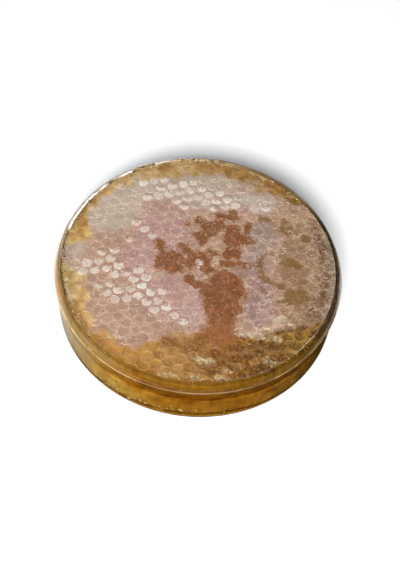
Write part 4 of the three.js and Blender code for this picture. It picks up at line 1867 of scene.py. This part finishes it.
@dataclass
class WaxChips:
    """Chips and shreds of wax, along the comb's rim and where its foot meets the wall."""

    rim_count: int = 300
    rim_radius: float = 59.6
    foot_count: int = 120
    foot_radius: float = 60.2
    wax: LooseWax = field(default_factory=LooseWax)

    def spots(self) -> tuple[np.ndarray, np.ndarray]:
        """Where the chips lie, and how large each is.

        Returns:
            Points in millimetres, and lengths in millimetres.
        """
        dice = np.random.default_rng(77)
        rows: list[tuple[float, float, float, float]] = []
        for _ in range(self.rim_count):
            angle = math.radians(dice.uniform(18, 225))
            out = self.rim_radius - abs(dice.normal(0, 0.6))
            up = dice.uniform(25.9, 26.5)
            rows.append((out * math.cos(angle), out * math.sin(angle), up, dice.uniform(0.4, 1.2)))
        out = self.foot_radius
        for _ in range(self.foot_count):
            angle = math.radians(dice.normal(-108, 17))
            up = dice.normal(4.6, 0.8)
            rows.append((out * math.cos(angle), out * math.sin(angle), up, dice.uniform(0.6, 1.6)))
        table = np.array(rows)
        return table[:, :3], table[:, 3]

    def build(self) -> bpy.types.Object:
        """Grows the chips.

        Returns:
            The chips as one piece.
        """
        places, sizes = self.spots()
        base = bpy.data.meshes.new("chip_spots")
        base.from_pydata([tuple(place * MM) for place in places], [], [])
        keep(base, "length", sizes * MM)
        tree = Growth("wax_chips", {"Thinness": 0.28, "Seed": 12})
        chip = tree.add("GeometryNodeMeshIcoSphere", {"Radius": 0.5, "Subdivisions": 2}).outputs["Mesh"]
        chip = tree.move(chip, tree.swirl(3.0))
        turn = tree.random((0.0, 0.0, 0.0), (6.28, 6.28, 6.28), tree.given["Seed"], "FLOAT_VECTOR")
        length = tree.named("length")
        scale = tree.vector(length, tree.times(length, 0.6), tree.times(length, tree.given["Thinness"]))
        strewn = tree.add("GeometryNodeInstanceOnPoints", {
            "Points": tree.given["Geometry"], "Instance": chip, "Rotation": turn, "Scale": scale,
        }).outputs[0]
        chips = tree.grow("wax_chips", strewn, base, self.wax.material())
        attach(chips, BODY)
        return chips


@dataclass
class Fibre:
    """A fine dark fibre that sticks to the outside of the tray's wall, at the front right.

    Args:
        case: The case whose wall it sticks to.
        start: Its upper end, as a direction in degrees and a height.
        end: Its lower end.
        radius: Half its thickness.
        joints: How many points it has.
        look: What it is made of.
    """

    case: Case
    start: Point = (-43.5, 15.5)
    end: Point = (-39.5, 2.6)
    radius: float = 0.1
    joints: int = 24
    look: DarkFibre = field(default_factory=DarkFibre)

    def line(self) -> list[tuple[float, float, float]]:
        """The fibre's path down the wall.

        Returns:
            Its points, in metres, from its upper end down.
        """
        case = self.case
        (first, high), (last, low) = self.start, self.end
        spots = []
        for share in np.linspace(0, 1, self.joints):
            angle = math.radians(first + (last - first) * share + 0.5 * math.sin(5 * share))
            up = high + (low - high) * share
            out = case.foot + (case.mouth - case.foot) * up / case.shoulder + self.radius / 2
            spots.append((out * math.cos(angle) * MM, out * math.sin(angle) * MM, up * MM))
        return spots

    def build(self) -> bpy.types.Object:
        """Makes the fibre.

        Returns:
            The fibre's piece.
        """
        spots = self.line()
        base = bpy.data.meshes.new("fibre_line")
        base.from_pydata(spots, [(i, i + 1) for i in range(len(spots) - 1)], [])
        tree = Growth("fibre", {"Radius": self.radius * MM})
        curve = tree.add("GeometryNodeMeshToCurve", {"Mesh": tree.given["Geometry"]}).outputs[0]
        section = tree.add("GeometryNodeCurvePrimitiveCircle", {
            "Resolution": 6, "Radius": tree.given["Radius"],
        }).outputs[0]
        strand = tree.add("GeometryNodeCurveToMesh", {
            "Curve": curve, "Profile Curve": section, "Fill Caps": True,
        }).outputs[0]
        made = tree.grow("fibre", strand, base, self.look.material())
        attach(made, BODY)
        return made


@dataclass
class WaxCurls:
    """Fine curls of wax, torn from the cappings, that lie all over the comb's upper face."""

    radius: float = 0.6
    strand_radius: float = 0.11
    unevenness: float = 0.6
    lowest: float = 24.4
    wax: CurlWax = field(default_factory=CurlWax)

    def arcs(self, tree: Growth) -> Any:
        """Three curls of different lengths to pick from.

        Args:
            tree: The tree being wired.

        Returns:
            The curls, as instances.
        """
        section = tree.add("GeometryNodeCurvePrimitiveCircle", {
            "Resolution": 4, "Radius": tree.given["Strand radius"],
        }).outputs[0]
        choice = tree.add("GeometryNodeGeometryToInstance")
        for sweep, points in ((1.1, 4), (2.3, 6), (3.9, 8)):
            arc = tree.add("GeometryNodeCurveArc", {
                "Resolution": points, "Radius": tree.given["Radius"], "Sweep Angle": sweep,
            }).outputs[0]
            sockets = {"Curve": arc, "Profile Curve": section, "Fill Caps": True}
            curl = tree.add("GeometryNodeCurveToMesh", sockets).outputs[0]
            tree.tree.links.new(curl, choice.inputs[0])
        return choice.outputs[0]

    def build(self, slab: bpy.types.Object) -> bpy.types.Object:
        """Strews the curls over the slab.

        Args:
            slab: The painted comb.

        Returns:
            The curls as one piece.
        """
        tree = Growth("wax_curls", {
            "Radius": self.radius * MM, "Strand radius": self.strand_radius * MM,
            "Unevenness": self.unevenness * MM, "Lowest": self.lowest * MM, "Seed": 5,
        })
        given = tree.given
        up = tree.parts(tree.add("GeometryNodeInputNormal").outputs[0])[2]
        height = tree.parts(tree.position())[2]
        high = tree.math("GREATER_THAN", height, given["Lowest"])
        spread = tree.add("GeometryNodeDistributePointsOnFaces", {
            "Mesh": given["Geometry"], "Selection": tree.times(tree.math("GREATER_THAN", up, 0.5), high),
            "Density": tree.named("crowd"), "Seed": given["Seed"],
        })
        turn = tree.random((-0.25, -0.25, 0.0), (0.25, 0.25, 6.28), given["Seed"], "FLOAT_VECTOR")
        sizes = tree.random(0.45, 1.7, given["Seed"])
        strewn = tree.add("GeometryNodeInstanceOnPoints", {
            "Points": spread.outputs["Points"], "Instance": self.arcs(tree), "Pick Instance": True,
            "Instance Index": tree.random(0, 2, given["Seed"], "INT"), "Rotation": turn, "Scale": sizes,
        }).outputs[0]
        real = tree.add("GeometryNodeRealizeInstances", {"Geometry": strewn}).outputs[0]
        x, y, _ = tree.parts(tree.swirl(700.0, 1.0))
        offset = tree.vector(tree.times(x, given["Unevenness"]), tree.times(y, given["Unevenness"]))
        curls = tree.grow("wax_curls", tree.move(real, offset), slab.data.copy(), self.wax.material())
        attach(curls, BODY)
        return curls


# ------------------------------------------------------------------------------------- the studio


@dataclass(frozen=True)
class Softbox:
    """A large flat lamp that faces the object.

    Args:
        name: The lamp's name.
        place: Where it stands, in metres.
        width: Its length along, in metres.
        height: Its other length, in metres.
        power: Its strength, in watts.
        along: Which way its width runs.
        gleam_only: Whether it shows in gloss alone, as a narrow strip of light does.
        gleams: Whether glossy things mirror it.
    """

    name: str
    place: tuple[float, float, float]
    width: float
    height: float
    power: float
    along: tuple[float, float, float] = (1.0, 0.0, 0.0)
    gleam_only: bool = False
    gleams: bool = True

    def build(self) -> bpy.types.Object:
        """Hangs the lamp.

        Returns:
            The lamp.
        """
        lamp = bpy.data.lights.new(self.name, "AREA")
        lamp.shape = "RECTANGLE"
        lamp.size = self.width
        lamp.size_y = self.height
        lamp.energy = self.power
        made = bpy.data.objects.new(self.name, lamp)
        made.visible_diffuse = not self.gleam_only
        made.visible_glossy = self.gleams
        bpy.context.scene.collection.objects.link(made)
        back = Vector(self.place).normalized()
        across = (Vector(self.along) - back * back.dot(Vector(self.along))).normalized()
        axes = Matrix((across, back.cross(across), back)).transposed().to_4x4()
        made.matrix_world = Matrix.Translation(self.place) @ axes
        return made


@dataclass
class Studio:
    """A pale bench, soft lamps and a plain surround."""

    # the surround gives less light in gloss than on matt things
    surround: Tone = (0.92, 0.94, 0.97)
    surround_power: float = 0.29
    lamps: Sequence[Softbox] = (
        Softbox("key_front", (-0.1, -1.07, 0.97), 0.5, 0.34, 31.0, gleams=False),
        Softbox("side_left", (-1.05, -0.55, 0.32), 0.5, 0.25, 7.0, along=(0.46, -0.89, 0.0)),
        Softbox("side_right", (0.75, -0.95, 0.32), 0.5, 0.25, 3.2, along=(0.78, 0.62, 0.0), gleams=False),
        Softbox(
            "rim_back_left", (-0.33, 0.83, 0.46), 0.8, 0.35, 8.0, along=(-0.36, -0.29, 0.28), gleam_only=True,
        ),
    )
    bench_reach: float = 3.0
    bench_drop: float = 0.1
    less_in_gloss: float = 0.6

    def build(self) -> None:
        """Sets out the bench, the lamps and the surround."""
        bench = bpy.data.meshes.new("bench")
        reach = self.bench_reach
        low = -self.bench_drop * MM
        corners = [(-reach, -reach, low), (reach, -reach, low), (reach, reach, low), (-reach, reach, low)]
        bench.from_pydata(corners, [], [(0, 1, 2, 3)])
        bench.materials.append(PaleBench().material())
        placed("bench", bench)
        for lamp in self.lamps:
            lamp.build()
        world = bpy.data.worlds.new("surround")
        world.use_nodes = True
        sky = Graph(world.node_tree)
        background = world.node_tree.nodes["Background"]
        glossy = sky.add("ShaderNodeLightPath").outputs["Is Glossy Ray"]
        power = sky.times(self.surround_power, sky.minus(1.0, sky.times(glossy, self.less_in_gloss)))
        background.inputs[0].default_value = (*self.surround, 1.0)
        sky.feed(background.inputs[1], power)
        scene = bpy.context.scene
        scene.world = world
        scene.view_settings.view_transform = "Standard"
        scene.cycles.caustics_reflective = False
        scene.cycles.caustics_refractive = False
        scene.cycles.transparent_max_bounces = 24
        scene.cycles.transmission_bounces = 16
        scene.cycles.max_bounces = 16


@dataclass(frozen=True)
class Viewpoint:
    """The camera: where it stands, what it looks at, how far it is rolled and how long its lens is."""

    place: tuple[float, float, float] = (0.0, -262.7, 378.55)
    aim: tuple[float, float, float] = (1.3, 7.4, 0.0)
    roll: float = 5.75
    lens: float = 63.65

    def build(self) -> bpy.types.Object:
        """Stands the camera.

        Returns:
            The camera.
        """
        made = bpy.data.objects.new("viewpoint", bpy.data.cameras.new("viewpoint"))
        made.data.lens = self.lens
        made.data.clip_start = 0.01
        bpy.context.scene.collection.objects.link(made)
        sight = (Vector(self.aim) - Vector(self.place)).normalized()
        level = sight.cross(Vector((0, 0, 1))).normalized()
        upright = level.cross(sight)
        angle = math.radians(self.roll)
        right = level * math.cos(angle) + upright * math.sin(angle)
        up = upright * math.cos(angle) - level * math.sin(angle)
        axes = Matrix((right, up, -sight)).transposed().to_4x4()
        made.matrix_world = Matrix.Translation(Vector(self.place) * MM) @ axes
        bpy.context.scene.camera = made
        return made


def note(pieces: Iterable[bpy.types.Object]) -> None:
    """Reports each piece's name and size in faces."""
    for piece in pieces:
        LOG.info("%s: %d faces", piece.name, len(piece.data.polygons))


def main() -> None:
    """Builds the object's parts in order, then the studio and the camera."""
    logging.basicConfig(level=logging.INFO)
    Viewpoint().build()
    case = Case()
    note(case.build())
    slab = CombSlab().build()
    note([slab, WaxCurls().build(slab)])
    note([HoneyFill(case).build()])
    note([WaxChips().build(), Fibre(case).build()])
    Studio().build()


if __name__ == "__main__":
    main()
